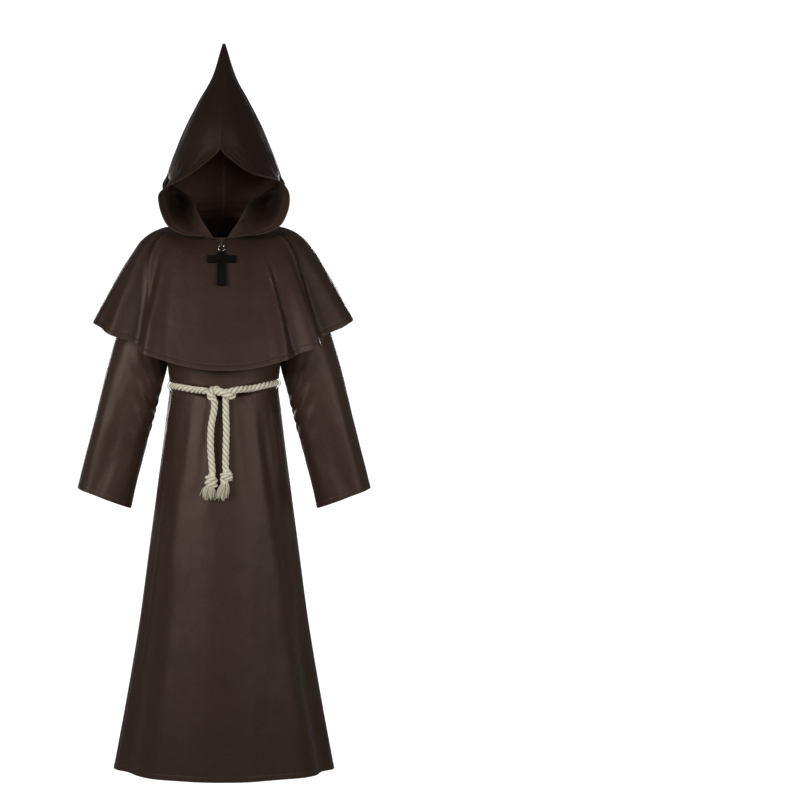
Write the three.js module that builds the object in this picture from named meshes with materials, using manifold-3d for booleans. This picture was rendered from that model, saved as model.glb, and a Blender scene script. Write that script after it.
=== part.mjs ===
// A hooded monk robe, filled out as if worn: a long robe with wide sleeves, a short cape with a pointed hood
// sewn to its neckline, a tied rope belt with knotted and frayed ends, and a cross hanging at the neck.
// Millimetres, +Z up, the front faces -Y, and the wearer's left is +X. The origin is the middle of the
// wearer's neck base, between the shoulders, where the robe is held up. Cloth is a thin closed wall.
import * as THREE from 'three';
import { mergeVertices } from 'three/addons/utils/BufferGeometryUtils.js';
import Module from 'manifold-3d';

const wasm = await Module();
wasm.setup();

// Driving sizes
const CLOTH = 2; // wall of a cloth piece
const SEAM = 0.3; // gap between two pieces sewn together
const ROPE = 16; // diameter of the belt rope
const HEM_Z = -1340; // hem of the robe
const UNDERARM_Z = -334; // where sleeve and side seam meet
const ARMHOLE_ROWS = 8; // rows of a panel beside the armhole, which the sleeve's first ring repeats
const PANEL_COLUMNS = 24;
// Heights of a panel's rows from the hem up. The last ones are heights over the belt
const SKIRT_ROWS = [HEM_Z, -1240, -1140, -1040, -940, -840, -740, -645, -560, -492];
const WAIST_ROWS = [-38, -15, 0, 15];

// Sections of the robe below the underarm: half-width, depth in front of and behind the mid-plane, and
// how far the front and back flatten towards the side seams
const BODY = [
  { z: -1340, wide: 276, front: 180, back: 180, flat: 1.45 },
  { z: -1150, wide: 241, front: 171, back: 168, flat: 1.35 },
  { z: -970, wide: 211, front: 159, back: 154, flat: 1.25 },
  { z: -790, wide: 187, front: 147, back: 141, flat: 1.15 },
  { z: -610, wide: 163, front: 134, back: 128, flat: 1.05 },
  { z: -520, wide: 151.5, front: 126, back: 121, flat: 1 },
  { z: -430, wide: 141, front: 118, back: 114, flat: 0.95 },
  { z: -385, wide: 136, front: 113, back: 110, flat: 0.9 },
  { z: -334, wide: 141, front: 117, back: 115, flat: 0.9 },
];
const ACROSS_POWER = 0.95; // below 1 the sections are a little squarer than an ellipse
const CINCH = { deep: 17, reach: 28 }; // groove that the belt pulls into the robe

// Soft folds of the skirt. The angle is 0 in front and 90 at the wearer's left, and depth is at the hem
const SKIRT_FOLDS = [
  { angle: -37, wide: 15, depth: 7, top: -430 },
  { angle: -62, wide: 15, depth: -11, top: -520 },
  { angle: 24, wide: 16, depth: -7, top: -560 },
  { angle: 47, wide: 15, depth: 9, top: -430 },
  { angle: 66, wide: 13, depth: -9, top: -520 },
  { angle: 112, wide: 15, depth: -11, top: -430 },
  { angle: 134, wide: 14, depth: 9, top: -400 },
  { angle: 156, wide: 13, depth: -10, top: -400 },
  { angle: 176, wide: 13, depth: 8, top: -400 },
  { angle: -161, wide: 13, depth: -11, top: -400 },
  { angle: -138, wide: 14, depth: 9, top: -400 },
  { angle: -114, wide: 15, depth: -11, top: -430 },
];

// Neck and shoulders of the robe
const NECK_SHARE = 0.44; // share of a panel's top edge that is neckline
const SHOULDER = { x: 188, z: -34 };
const ARMHOLE = { x: 141, hollow: 9, deep: 58 };

// Sections of a sleeve: its outer and inner outline from the front, and half its depth
const SLEEVE = [
  { s: 0, outerX: 188, outerZ: -34, innerX: 141, innerZ: -334, deep: 58 },
  { s: 0.2, outerX: 222, outerZ: -116, innerX: 147, innerZ: -362, deep: 62 },
  { s: 0.4, outerX: 258, outerZ: -222, innerX: 162, innerZ: -415, deep: 62 },
  { s: 0.6, outerX: 294, outerZ: -345, innerX: 182, innerZ: -490, deep: 60 },
  { s: 0.8, outerX: 330, outerZ: -494, innerX: 207, innerZ: -585, deep: 55 },
  { s: 1, outerX: 366, outerZ: -640, innerX: 231.5, innerZ: -690, deep: 50 },
];
const SLEEVE_ROWS = 9;

// The neckline that robe, cape and hood share, and how far the robe's edge lies under the cape's
const COLLAR = { wide: 92, front: 78, back: 85, sideZ: 14, frontDrop: 41 };
const UNDER_CAPE = { inwards: 1, below: 3.2 };
// The front of the neckline and of the hood hangs a little to the wearer's right
const LEAN = { x: -9, reach: 80, from: 30, to: 150, fadeFrom: 190, fadeTo: 470 };

// Profiles of the cape from neckline to hem: at the side, in front and at the back
const CAPE = [
  { t: 0, sideX: 92, sideZ: 14, frontY: 78, frontZ: -27, backY: 85, backZ: 55 },
  { t: 0.2, sideX: 152, sideZ: 11, frontY: 98, frontZ: -64, backY: 113, backZ: 30 },
  { t: 0.4, sideX: 204, sideZ: -20, frontY: 117, frontZ: -128, backY: 133, backZ: -45 },
  { t: 0.6, sideX: 245, sideZ: -78, frontY: 133, frontZ: -202, backY: 147, backZ: -130 },
  { t: 0.8, sideX: 288, sideZ: -152, frontY: 146, frontZ: -276, backY: 158, backZ: -216 },
  { t: 1, sideX: 328, sideZ: -222, frontY: 155, frontZ: -350, backY: 167, backZ: -302 },
];
// The wearer's left tip hangs a little higher and closer
const CAPE_TIP = { angle: 90, wide: 45, x: -7, z: 12 };
const CAPE_POWER = 0.87; // below 1 its rings are a little squarer than an ellipse
const CAPE_COLUMNS = 72;
const CAPE_ROWS = 8;

// Folds of the cape: a ridge has a positive depth, start is where it begins between neckline and hem
const CAPE_FOLDS = [
  { angle: 23, wide: 8, depth: 10, start: 0.35 },
  { angle: 31, wide: 8, depth: -13, start: 0.4 },
  { angle: 39, wide: 9, depth: 15, start: 0.08 },
  { angle: 52, wide: 13, depth: -30, start: 0.2 },
  { angle: 72, wide: 10, depth: 8, start: 0.5 },
  { angle: -31, wide: 9, depth: 13, start: 0.08 },
  { angle: -43, wide: 12, depth: -30, start: 0.2 },
  { angle: -56, wide: 10, depth: 9, start: 0.1 },
  { angle: -74, wide: 10, depth: 7, start: 0.5 },
  { angle: 104, wide: 12, depth: -16, start: 0.35 },
  { angle: 119, wide: 8, depth: 15, start: 0.15 },
  { angle: 131, wide: 8, depth: -17, start: 0.15 },
  { angle: 142, wide: 8, depth: 17, start: 0.05 },
  { angle: 153, wide: 7, depth: -13, start: 0.05 },
  { angle: 164, wide: 8, depth: 9, start: 0.25 },
  { angle: -165, wide: 9, depth: 7, start: 0.25 },
  { angle: -152, wide: 8, depth: -16, start: 0.05 },
  { angle: -141, wide: 8, depth: 20, start: 0.03 },
  { angle: -130, wide: 8, depth: -18, start: 0.15 },
  { angle: -118, wide: 9, depth: 14, start: 0.15 },
  { angle: -104, wide: 12, depth: -14, start: 0.35 },
];

// Ribs of one half of the hood, two rows apart from the neckline up. Each runs from the back seam round the
// side to the front, over the crest where the cloth rolls outwards, through a valley to the free edge
const HOOD_ROWS = 22;
const HOOD_RIBS = [
  {
    row: 2,
    back: [0, 106, 64], rear: [84, 74, 58], side: [114, 4, 38], tuck: [66, -54, 5],
    crest: [27, -82, -6], valley: [40, -88, -16], edge: [53, -95, -19],
  },
  {
    row: 4,
    back: [0, 120, 92], rear: [98, 84, 84], side: [126, 6, 64], tuck: [80, -22, 40],
    crest: [44, -81, 18], valley: [71, -60, 6], edge: [95, -96, -15],
  },
  {
    row: 6,
    back: [0, 130, 125], rear: [106, 92, 117], side: [148, 8, 90], tuck: [88, 6, 66],
    crest: [58, -77, 44], valley: [91, -36, 38], edge: [141, -89, 10],
  },
  {
    row: 8,
    back: [0, 138, 160], rear: [110, 98, 150], side: [154, 10, 116], tuck: [98, 24, 92],
    crest: [72, -54, 73], valley: [106, -12, 70], edge: [161, -98, 64],
  },
  {
    row: 10,
    back: [0, 143, 195], rear: [105, 102, 186], side: [142, 10, 144], tuck: [131, 4, 130],
    crest: [123, -12, 115], valley: [133, -48, 103], edge: [148, -111, 94],
  },
  {
    row: 12,
    back: [0, 146, 230], rear: [93, 104, 223], side: [127, 14, 185], tuck: [131, -14, 171],
    crest: [125, -44, 154], valley: [110, -94, 136], edge: [75, -136, 128],
  },
  {
    row: 14,
    back: [0, 146, 268], rear: [75, 104, 264], side: [105, 12, 243], tuck: [102, -24, 232],
    crest: [92, -62, 217], valley: [56, -112, 199], edge: [0, -138, 190],
  },
];
// Sections of the closed cone above the face opening
const HOOD_CONES = [
  { row: 16, wide: 86, back: 130, front: 125, backZ: 303, sideZ: 279, frontZ: 248 },
  { row: 18, wide: 61.5, back: 101, front: 99, backZ: 345, sideZ: 327, frontZ: 312 },
  { row: 20, wide: 29.5, back: 60, front: 57, backZ: 400, sideZ: 388, frontZ: 383 },
  { row: 22, wide: 3.5, back: 4, front: 4, backZ: 472, sideZ: 471, frontZ: 470 },
];
const CONE_POWER = 1.08; // above 1 the cone's sides are a little flatter than an ellipse
// Columns of the named places of a rib, and their angles on the neckline and on a cone
const HOOD_COLUMNS = 22;
const RIB_PLACES = [
  { name: 'back', column: 0, collar: 180, cone: 0 },
  { name: 'rear', column: 4, collar: 135, cone: 42 },
  { name: 'side', column: 8, collar: 90, cone: 90 },
  { name: 'tuck', column: 11, collar: 45, cone: 108 },
  { name: 'crest', column: 15, collar: 11, cone: 128 },
  { name: 'valley', column: 18, collar: 5.5, cone: 155 },
  { name: 'edge', column: 22, collar: 0, cone: 180 },
];
// The free edge on the wearer's left hangs a little higher beside the brow
const BROW_LIFT = { row: 10.5, wide: 2, from: 15, z: 13 };
// Dents where the slack of the hood slumps over the back of the neckline
const HOOD_DENTS = [
  { side: -1, column: 5, row: 2.6, wideColumn: 1.8, wideRow: 1.6, depth: -17 },
  { side: 1, column: 5.6, row: 1.8, wideColumn: 2, wideRow: 1.3, depth: -13 },
];

// The rope round the waist: its height at the side seams, how far it dips in front and rises behind, and how
// much higher it lies on the wearer's left. The knot starts at the angle from
const BELT = { z: -381, dip: 26, rise: 6, slope: 3.8, clear: 2.8, from: 32, steps: 54 };
// Both halves of the half knot: from the waist, round the other half, and down. The points are chosen by hand
const KNOT_OVER = [
  [-36, -125, -400], [-24, -131, -402], [-8, -140, -402], [8, -143, -406],
  [16, -134, -415], [11, -127, -425], [7, -129, -437],
];
const KNOT_UNDER = [
  [28, -127, -396], [16, -127, -396], [1, -124, -399], [-15, -125, -404],
  [-26, -135, -411], [-27, -143, -422], [-25, -140, -436],
];
// Routes of the two hanging ends, from the knot down. The points are chosen by hand
const END_ROUTES = {
  right: [
    [-24.9, -139.8, -437.1], [-24.2, -138.5, -446], [-26.5, -137.4, -458], [-29.3, -137, -472],
    [-31.3, -137.4, -486], [-32, -138.2, -499], [-32.6, -139.2, -512], [-32.7, -140.3, -525],
    [-32.4, -141.4, -538], [-31.6, -142.5, -551], [-30.6, -143.7, -563], [-29.6, -144.9, -575],
    [-28.8, -146, -586], [-28.4, -147, -596], [-28.3, -147.6, -604],
  ],
  left: [
    [6.7, -129.2, -438.2], [4.6, -131.1, -447], [4.4, -132.8, -459], [5.2, -134.4, -472],
    [5.8, -136, -485], [5.8, -137.6, -497], [5.4, -139.2, -509], [5, -140.8, -521],
    [4.6, -142.3, -533], [4.4, -143.8, -545], [4.2, -145.2, -557], [4, -146.6, -569],
    [4, -147.7, -579], [4.3, -148.6, -587], [4.8, -149.2, -594],
  ],
};
// The knot and frayed end below each route
const ENDS = {
  right: { middle: [-30, -150, -617], tilt: 0.25, fray: [-41, -154, -640], flare: 13 },
  left: { middle: [6, -152, -607], tilt: -0.45, fray: [-6, -155, -640], flare: 11 },
};
const END_KNOT = { wide: 14, tall: 12.5 };
const FRAY = { strands: 26, thick: 2.8 };

// Thread carriers at the side seams that hold the rope
const CARRIER = { wide: 6, thick: 1.2, above: 14, below: 14, clear: 1 };

// The cross and what it hangs on. It lies against the cape, leaning outwards at its foot
const NECK_LOOP = { x: -6, y: -94.5, z: -34, radius: 9, wire: 1.1 };
const PENDANT_LEAN = 18.6;
const JUMP_RING = { radius: 7.6, wire: 1.1 };
const EYE = { radius: 3.1, wire: 1 };
const CROSS = { tall: 87, wide: 70, bar: 19, arm: 16, thick: 5, armAt: 18, flare: 1.8, round: 1.2 };

// Curves and folds
const radians = THREE.MathUtils.degToRad;
const lerp = THREE.MathUtils.lerp;
const smooth = (value, from, to) => {
  const share = Math.min(1, Math.max(0, (value - from) / (to - from)));
  return share * share * (3 - 2 * share);
};

// A smooth curve through rows of a table: the value of read(row) where row[key] would be at
function through(rows, key, read) {
  const order = rows[0][key] <= rows[rows.length - 1][key] ? 1 : -1;
  return (at) => {
    let i = 0;
    while (i < rows.length - 2 && (at - rows[i + 1][key]) * order > 0) i++;
    const knot = (k) => rows[Math.min(rows.length - 1, Math.max(0, k))];
    const slope = (k) => (read(knot(k + 1)) - read(knot(k - 1))) / (knot(k + 1)[key] - knot(k - 1)[key]);
    const span = rows[i + 1][key] - rows[i][key];
    const t = Math.min(1, Math.max(0, (at - rows[i][key]) / span));
    const [p, q, m, n] = [read(rows[i]), read(rows[i + 1]), slope(i) * span, slope(i + 1) * span];
    const bend = t * t * (3 - 2 * t);
    return p + (q - p) * bend + m * (t ** 3 - 2 * t * t + t) + n * (t ** 3 - t * t);
  };
}

// The sine and cosine of a ring, each raised to a power: below 1 is squarer than an ellipse, above 1 flatter
function ringShares(angle, acrossPower, aheadPower) {
  const bend = (value, power) => Math.sign(value) * Math.abs(value) ** power;
  return [bend(Math.sin(radians(angle)), acrossPower), bend(Math.cos(radians(angle)), aheadPower)];
}

// How far a fold stands out at an angle: 1 on its line, 0 a width away
function bump(angle, fold) {
  const off = Math.abs(((angle - fold.angle + 540) % 360) - 180) / fold.wide;
  return off < 1 ? Math.cos((off * Math.PI) / 2) ** 2 : 0;
}

// Height of the belt's middle at an angle, 0 in front
function beltZ(angle) {
  const sine = Math.sin(radians(angle));
  const sway = Math.cos(radians(angle)) > 0 ? -BELT.dip : BELT.rise;
  return BELT.z + sway * (1 - Math.abs(sine)) + BELT.slope * sine;
}

// The robe below the underarm
const bodySize = Object.fromEntries(
  ['wide', 'front', 'back', 'flat'].map((column) => [column, through(BODY, 'z', (row) => row[column])]),
);

function bodyPoint(angle, z) {
  const [across, ahead] = ringShares(angle, ACROSS_POWER, bodySize.flat(z));
  const deep = ahead > 0 ? bodySize.front(z) : bodySize.back(z);
  const off = Math.min(1, Math.abs(z - beltZ(angle)) / CINCH.reach);
  const cinch = CINCH.deep * Math.cos((off * Math.PI) / 2) ** 2;
  const folds = SKIRT_FOLDS.reduce(
    (sum, fold) => sum + fold.depth * bump(angle, fold) * smooth(z, fold.top, HEM_Z),
    -cinch,
  );
  const out = new THREE.Vector2(Math.sin(radians(angle)), Math.cos(radians(angle)));
  return new THREE.Vector3(
    bodySize.wide(z) * across + folds * out.x,
    -deep * ahead - folds * out.y,
    z,
  );
}

// The armhole of one side, from the underarm at 0 to the shoulder at 1, along its front (-1) or back (1)
function armholePoint(t, face) {
  return new THREE.Vector3(
    lerp(ARMHOLE.x, SHOULDER.x, t) - ARMHOLE.hollow * Math.sin(Math.PI * t),
    face * ARMHOLE.deep * (4 * t * (1 - t)) ** 0.7,
    lerp(UNDERARM_Z, SHOULDER.z, t),
  );
}

// The neckline at an angle, 0 in front
function collarPoint(angle) {
  const [sin, cos] = [Math.sin(radians(angle)), Math.cos(radians(angle))];
  const deep = cos > 0 ? COLLAR.front : COLLAR.back;
  return new THREE.Vector3(COLLAR.wide * sin, -deep * cos, COLLAR.sideZ - COLLAR.frontDrop * cos);
}

const leanAt = (at) => (
  LEAN.x * smooth(-at.y, 0, LEAN.reach) * (1 - smooth(Math.abs(at.x), LEAN.from, LEAN.to))
);

// The top edge of a panel: its neckline, then its shoulder seam
function topEdge(u, face) {
  const share = Math.abs(u);
  const turn = Math.min(1, share / NECK_SHARE) * 90;
  const neck = collarPoint(face < 0 ? turn : 180 - turn);
  neck.add(new THREE.Vector3(-Math.sin(radians(turn)), -face * Math.cos(radians(turn)), 0)
    .multiplyScalar(UNDER_CAPE.inwards));
  neck.x *= Math.sign(u);
  neck.z -= UNDER_CAPE.below;
  const along = Math.max(0, (share - NECK_SHARE) / (1 - NECK_SHARE));
  return new THREE.Vector3(
    lerp(neck.x, Math.sign(u) * SHOULDER.x, along),
    neck.y * (share > NECK_SHARE ? 0 : 1),
    lerp(neck.z, SHOULDER.z, along ** 1.15),
  );
}

// The front or back panel above the underarm, v from 0 there to 1 at the top edge
function yokePoint(u, v, face) {
  const start = bodyPoint(face < 0 ? u * 90 : 180 - u * 90, UNDERARM_Z);
  const end = topEdge(u, face);
  const onShoulder = smooth(Math.abs(u), NECK_SHARE * 0.75, NECK_SHARE * 1.25);
  const arrive = new THREE.Vector3(
    0,
    -face * lerp(60, 190, onShoulder),
    lerp(150, 0, onShoulder),
  );
  const leave = new THREE.Vector3(0, face * 25 * (1 - Math.abs(u)), 270);
  const [v2, v3] = [v * v, v * v * v];
  const at = start
    .clone()
    .multiplyScalar(2 * v3 - 3 * v2 + 1)
    .addScaledVector(leave, v3 - 2 * v2 + v)
    .addScaledVector(end, -2 * v3 + 3 * v2)
    .addScaledVector(arrive, v3 - v2);
  at.x += leanAt(at) * smooth(v, 0.5, 1);
  return at;
}

function yokeWithArmhole(u, v, face) {
  const at = yokePoint(u, v, face);
  const side = Math.sign(u) || 1;
  const edge = armholePoint(v, face);
  edge.x *= side;
  const off = edge.sub(yokePoint(side, v, face));
  return at.addScaledVector(off, smooth(Math.abs(u), 0.5, 1));
}

// A panel's rows: the skirt at its heights, the waist beside the belt, and the yoke closer at both ends
const PANEL_ROWS = [
  ...SKIRT_ROWS.map((z) => ({ z })),
  ...WAIST_ROWS.map((belt) => ({ belt })),
  ...Array.from({ length: ARMHOLE_ROWS + 1 }, (_, i) => ({
    v: (1 - Math.cos((Math.PI * i) / ARMHOLE_ROWS)) / 2,
  })),
];
const YOKE_START = PANEL_ROWS.length - 1 - ARMHOLE_ROWS;

function behindSeam(at, face) {
  at.y = face * Math.max(face * at.y, SEAM / 2);
  return at;
}

function panelPoint(u, row, face) {
  const angle = face < 0 ? u * 90 : 180 - u * 90;
  const z = row.belt === undefined ? row.z : beltZ(angle) + row.belt;
  const at = row.v === undefined ? bodyPoint(angle, z) : yokeWithArmhole(u, row.v, face);
  return behindSeam(at, face);
}

// One sleeve on the wearer's left: turn is 0 along its outer line, 90 in front, 180 along its inner line
const sleeveTrack = (column) => through(SLEEVE, 's', (row) => row[column]);
const sleeveSize = Object.fromEntries(
  ['outerX', 'outerZ', 'innerX', 'innerZ', 'deep'].map((column) => [column, sleeveTrack(column)]),
);

function sleevePoint(turn, s) {
  const [sin, cos] = [Math.sin(radians(turn)), Math.cos(radians(turn))];
  const share = (1 + cos) / 2;
  const ring = new THREE.Vector3(
    lerp(sleeveSize.innerX(s), sleeveSize.outerX(s), share),
    -sleeveSize.deep(s) * Math.sign(sin) * Math.abs(sin) ** 0.95,
    lerp(sleeveSize.innerZ(s), sleeveSize.outerZ(s), share),
  );
  const hole = armholePoint(share, sin >= 0 ? -1 : 1);
  if (Math.abs(sin) < 1e-9) hole.y = 0;
  return ring.lerp(hole, 1 - smooth(s, 0, 0.3)).add(new THREE.Vector3(2 * SEAM * (1 - s), 0, 0));
}

// The cape
const capeTrack = (column) => through(CAPE, 't', (row) => row[column]);
const capeSize = Object.fromEntries(
  ['sideX', 'sideZ', 'frontY', 'frontZ', 'backY', 'backZ'].map((column) => [column, capeTrack(column)]),
);

function capePoint(angle, t) {
  const power = lerp(1, CAPE_POWER, smooth(t, 0, 0.3));
  const [across, ahead] = ringShares(angle, power, power);
  const [deep, z] = ahead > 0
    ? [capeSize.frontY(t), capeSize.frontZ(t)]
    : [capeSize.backY(t), capeSize.backZ(t)];
  const toSide = lerp(1 - Math.abs(ahead), across * across, smooth(t, 0, 0.3));
  const folds = CAPE_FOLDS.reduce(
    (sum, fold) => sum + fold.depth * bump(angle, fold) * smooth(t, fold.start, 1.15) * 1.08,
    0,
  );
  const tip = bump(angle, CAPE_TIP) * smooth(t, 0.4, 1);
  const at = new THREE.Vector3(
    capeSize.sideX(t) * across + folds * Math.sin(radians(angle)) + CAPE_TIP.x * tip,
    -deep * ahead - folds * Math.cos(radians(angle)),
    lerp(z, capeSize.sideZ(t), toSide) + CAPE_TIP.z * tip,
  );
  at.x += leanAt(at) * (1 - smooth(t, 0, 0.8));
  return at;
}

// The hood: a rib of the table or of the cone, as the place of one of its named points
const hoodRows = [
  { row: 0, place: (place) => collarPoint(place.collar) },
  ...HOOD_RIBS.map((rib) => ({ row: rib.row, place: (place) => new THREE.Vector3(...rib[place.name]) })),
  ...HOOD_CONES.map((cone) => ({
    row: cone.row,
    place: (place) => {
      const [sin, cos] = ringShares(place.cone, CONE_POWER, CONE_POWER);
      const z = lerp(cone.sideZ, cos > 0 ? cone.backZ : cone.frontZ, cos * cos);
      return new THREE.Vector3(cone.wide * sin, (cos > 0 ? cone.back : cone.front) * cos, z);
    },
  })),
];
const axes = ['x', 'y', 'z'];
const hoodTracks = RIB_PLACES.map((place) => ({
  column: place.column,
  ...Object.fromEntries(
    axes.map((axis) => [axis, through(hoodRows, 'row', (row) => row.place(place)[axis])]),
  ),
}));
const alongRib = (places, read) => through(places, 'column', read);
const collarAlong = alongRib(RIB_PLACES, (place) => place.collar);
const seatAlong = axes.map((axis) => alongRib(RIB_PLACES, (place) => collarPoint(place.collar)[axis]));

const hoodLean = (at) => leanAt(at) * (1 - smooth(at.z, LEAN.fadeFrom, LEAN.fadeTo));

function hoodPoint(column, row, side) {
  const places = hoodTracks.map((track) => ({
    column: track.column,
    x: track.x(row),
    y: track.y(row),
    z: track.z(row),
  }));
  const at = new THREE.Vector3(...axes.map((axis) => alongRib(places, (place) => place[axis])(column)));
  // Beside the neckline it follows the neckline's own curve
  const seat = new THREE.Vector3(...seatAlong.map((along) => along(column)));
  const seated = 1 - smooth(row, 0, HOOD_RIBS[0].row);
  at.add(collarPoint(collarAlong(column)).sub(seat).multiplyScalar(seated));
  for (const dent of HOOD_DENTS.filter((one) => one.side === side)) {
    const off = Math.hypot((column - dent.column) / dent.wideColumn, (row - dent.row) / dent.wideRow);
    const push = off < 1 ? dent.depth * Math.cos((off * Math.PI) / 2) ** 2 : 0;
    at.add(new THREE.Vector3(at.x, at.y, 0).normalize().multiplyScalar(push));
  }
  if (side > 0) {
    const far = Math.min(1, Math.abs(row - BROW_LIFT.row) / BROW_LIFT.wide);
    at.z += BROW_LIFT.z * (1 - smooth(far, 0, 1)) * smooth(column, BROW_LIFT.from, HOOD_COLUMNS);
  }
  at.x = Math.max(at.x, SEAM / 2) * side;
  at.x += hoodLean(at);
  at.z += SEAM * 1.5 * (1 - row / HOOD_ROWS);
  return at;
}

// A closed wall from a grid of points. point(i, j) gives the outer face, with i to the right and j up as
// seen from outside. flat(i, j) names the axes that the wall's thickness doesn't follow at a seam, and
// keep(p) holds an inner point on its own side of the seam
function wall(columns, rows, point, options = {}) {
  const { closed = false, flat = () => '', thickness = () => CLOTH, keep = (p) => p } = options;
  const across = closed ? columns : columns + 1;
  const outer = Array.from({ length: rows + 1 }, (_, j) => (
    Array.from({ length: across }, (__, i) => point(i, j))
  ));
  const at = (i, j) => outer[j][closed ? (i + across) % across : Math.min(columns, Math.max(0, i))];
  const inner = outer.map((line, j) => line.map((p, i) => {
    const right = at(i + 1, j).clone().sub(at(i - 1, j));
    const up = at(i, Math.min(rows, j + 1)).clone().sub(at(i, Math.max(0, j - 1)));
    const normal = right.cross(up).normalize();
    for (const axis of flat(i, j)) normal[axis] = 0;
    return keep(p.clone().addScaledVector(normal.normalize(), -thickness(i, j)));
  }));
  const positions = [...outer.flat(), ...inner.flat()].flatMap((p) => p.toArray());
  const index = [];
  const shift = outer.flat().length;
  const id = (i, j) => j * across + (closed ? i % across : i);
  const quad = (a, b, c, d) => index.push(a, b, c, a, c, d);
  for (let j = 0; j < rows; j++) {
    for (let i = 0; i < columns; i++) {
      quad(id(i, j), id(i + 1, j), id(i + 1, j + 1), id(i, j + 1));
      quad(shift + id(i, j), shift + id(i, j + 1), shift + id(i + 1, j + 1), shift + id(i + 1, j));
    }
  }
  for (let i = 0; i < columns; i++) {
    quad(id(i, 0), shift + id(i, 0), shift + id(i + 1, 0), id(i + 1, 0));
    quad(id(i, rows), id(i + 1, rows), shift + id(i + 1, rows), shift + id(i, rows));
  }
  for (let j = 0; j < rows && !closed; j++) {
    quad(id(0, j), id(0, j + 1), shift + id(0, j + 1), shift + id(0, j));
    quad(id(columns, j), shift + id(columns, j), shift + id(columns, j + 1), id(columns, j + 1));
  }
  const geometry = new THREE.BufferGeometry();
  geometry.setAttribute('position', new THREE.Float32BufferAttribute(positions, 3));
  geometry.setIndex(index);
  return geometry;
}

// A mirrored copy of a geometry, on the wearer's right
function mirrored(geometry) {
  const copy = geometry.clone().scale(-1, 1, 1);
  const order = copy.index.array;
  for (let i = 0; i < order.length; i += 3) [order[i], order[i + 1]] = [order[i + 1], order[i]];
  return copy;
}

// A round bar along points: an extruded section that follows a smooth curve
function rod(points, radius, steps) {
  const sides = 8;
  const section = new THREE.Shape(
    Array.from({ length: sides }, (_, i) => {
      const turn = (2 * Math.PI * i) / sides;
      return new THREE.Vector2(radius * Math.cos(turn), radius * Math.sin(turn));
    }),
  );
  const path = new THREE.CatmullRomCurve3(points.map((p) => new THREE.Vector3(...p)), false, 'centripetal');
  return new THREE.ExtrudeGeometry(section, { steps, bevelEnabled: false, extrudePath: path });
}

// Booleans
function solid(geometry) {
  const bare = geometry.clone();
  for (const name of Object.keys(bare.attributes)) if (name !== 'position') bare.deleteAttribute(name);
  const merged = mergeVertices(bare, 1e-3);
  return new wasm.Manifold(new wasm.Mesh({
    numProp: 3,
    vertProperties: merged.attributes.position.array,
    triVerts: new Uint32Array(merged.index.array),
  }));
}

function geometryOf(manifold) {
  const mesh = manifold.getMesh();
  const geometry = new THREE.BufferGeometry();
  geometry.setAttribute('position', new THREE.BufferAttribute(new Float32Array(mesh.vertProperties), 3));
  geometry.setIndex(new THREE.BufferAttribute(new Uint32Array(mesh.triVerts), 1));
  return geometry;
}

const joined = (geometries) => geometryOf(geometries.map(solid).reduce((sum, part) => sum.add(part)));

// The pieces
function robePanel(face) {
  const rows = PANEL_ROWS.length - 1;
  const point = (i, j) => panelPoint(-face * ((2 * i) / PANEL_COLUMNS - 1), PANEL_ROWS[j], face);
  const flat = (i, j) => {
    const side = i === 0 || i === PANEL_COLUMNS;
    const share = Math.abs((2 * i) / PANEL_COLUMNS - 1);
    const sideSeam = side && j <= YOKE_START ? 'y' : '';
    const armhole = side && j > YOKE_START ? 'x' : '';
    const shoulder = j === rows && share > NECK_SHARE * 0.95 ? 'y' : '';
    return sideSeam + armhole + shoulder;
  };
  return wall(PANEL_COLUMNS, rows, point, { flat, keep: (p) => behindSeam(p, face) });
}

function sleeve() {
  const around = 2 * ARMHOLE_ROWS;
  const point = (i, j) => sleevePoint((360 * (around - i)) / around, 1 - j / SLEEVE_ROWS);
  const flat = (i, j) => (j === SLEEVE_ROWS ? 'x' : '');
  return wall(around, SLEEVE_ROWS, point, { closed: true, flat });
}

function cape() {
  const slit = 0.1; // degrees left open at the centre-back seam
  const point = (i, j) => {
    const at = capePoint(lerp(-180 + slit, 180 - slit, i / CAPE_COLUMNS), 1 - j / CAPE_ROWS);
    if (i === 0) at.x = -SEAM / 2;
    if (i === CAPE_COLUMNS) at.x = SEAM / 2;
    return at;
  };
  return wall(CAPE_COLUMNS, CAPE_ROWS, point, {
    flat: (i) => (i === 0 || i === CAPE_COLUMNS ? 'x' : ''),
  });
}

function hoodHalf(side) {
  // Columns run to the right as seen from outside, so from the front on the wearer's left
  const columnOf = (i) => (side > 0 ? HOOD_COLUMNS - i : i);
  const point = (i, j) => hoodPoint(columnOf(i), j, side);
  const flat = (i, j) => {
    const backSeam = columnOf(i) === 0;
    const topSeam = columnOf(i) === HOOD_COLUMNS && j >= HOOD_RIBS.at(-1).row;
    return (backSeam || topSeam ? 'x' : '') + (j === 0 ? 'z' : '');
  };
  // The wall thins to its own folds at the tip and at the front of the neckline
  const thickness = (i, j) => {
    const tip = smooth(j, HOOD_ROWS - 3, HOOD_ROWS);
    const throat = (1 - smooth(j, 0, 3)) * smooth(columnOf(i), 12, 16);
    return CLOTH * lerp(1, 0.3, Math.max(tip, throat));
  };
  const keep = (p) => {
    const lean = hoodLean(p);
    p.x = lean + side * Math.max(side * (p.x - lean), SEAM / 2);
    return p;
  };
  return wall(HOOD_COLUMNS, HOOD_ROWS, point, { flat, thickness, keep });
}

// Middle of the belt's rope at an angle, 0 in front
function beltPoint(angle) {
  const z = beltZ(angle);
  const ahead = bodyPoint(angle + 1, z).sub(bodyPoint(angle - 1, z));
  const out = new THREE.Vector3(ahead.y, -ahead.x, 0).normalize();
  return bodyPoint(angle, z).addScaledVector(out, ROPE / 2 + BELT.clear);
}

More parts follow.
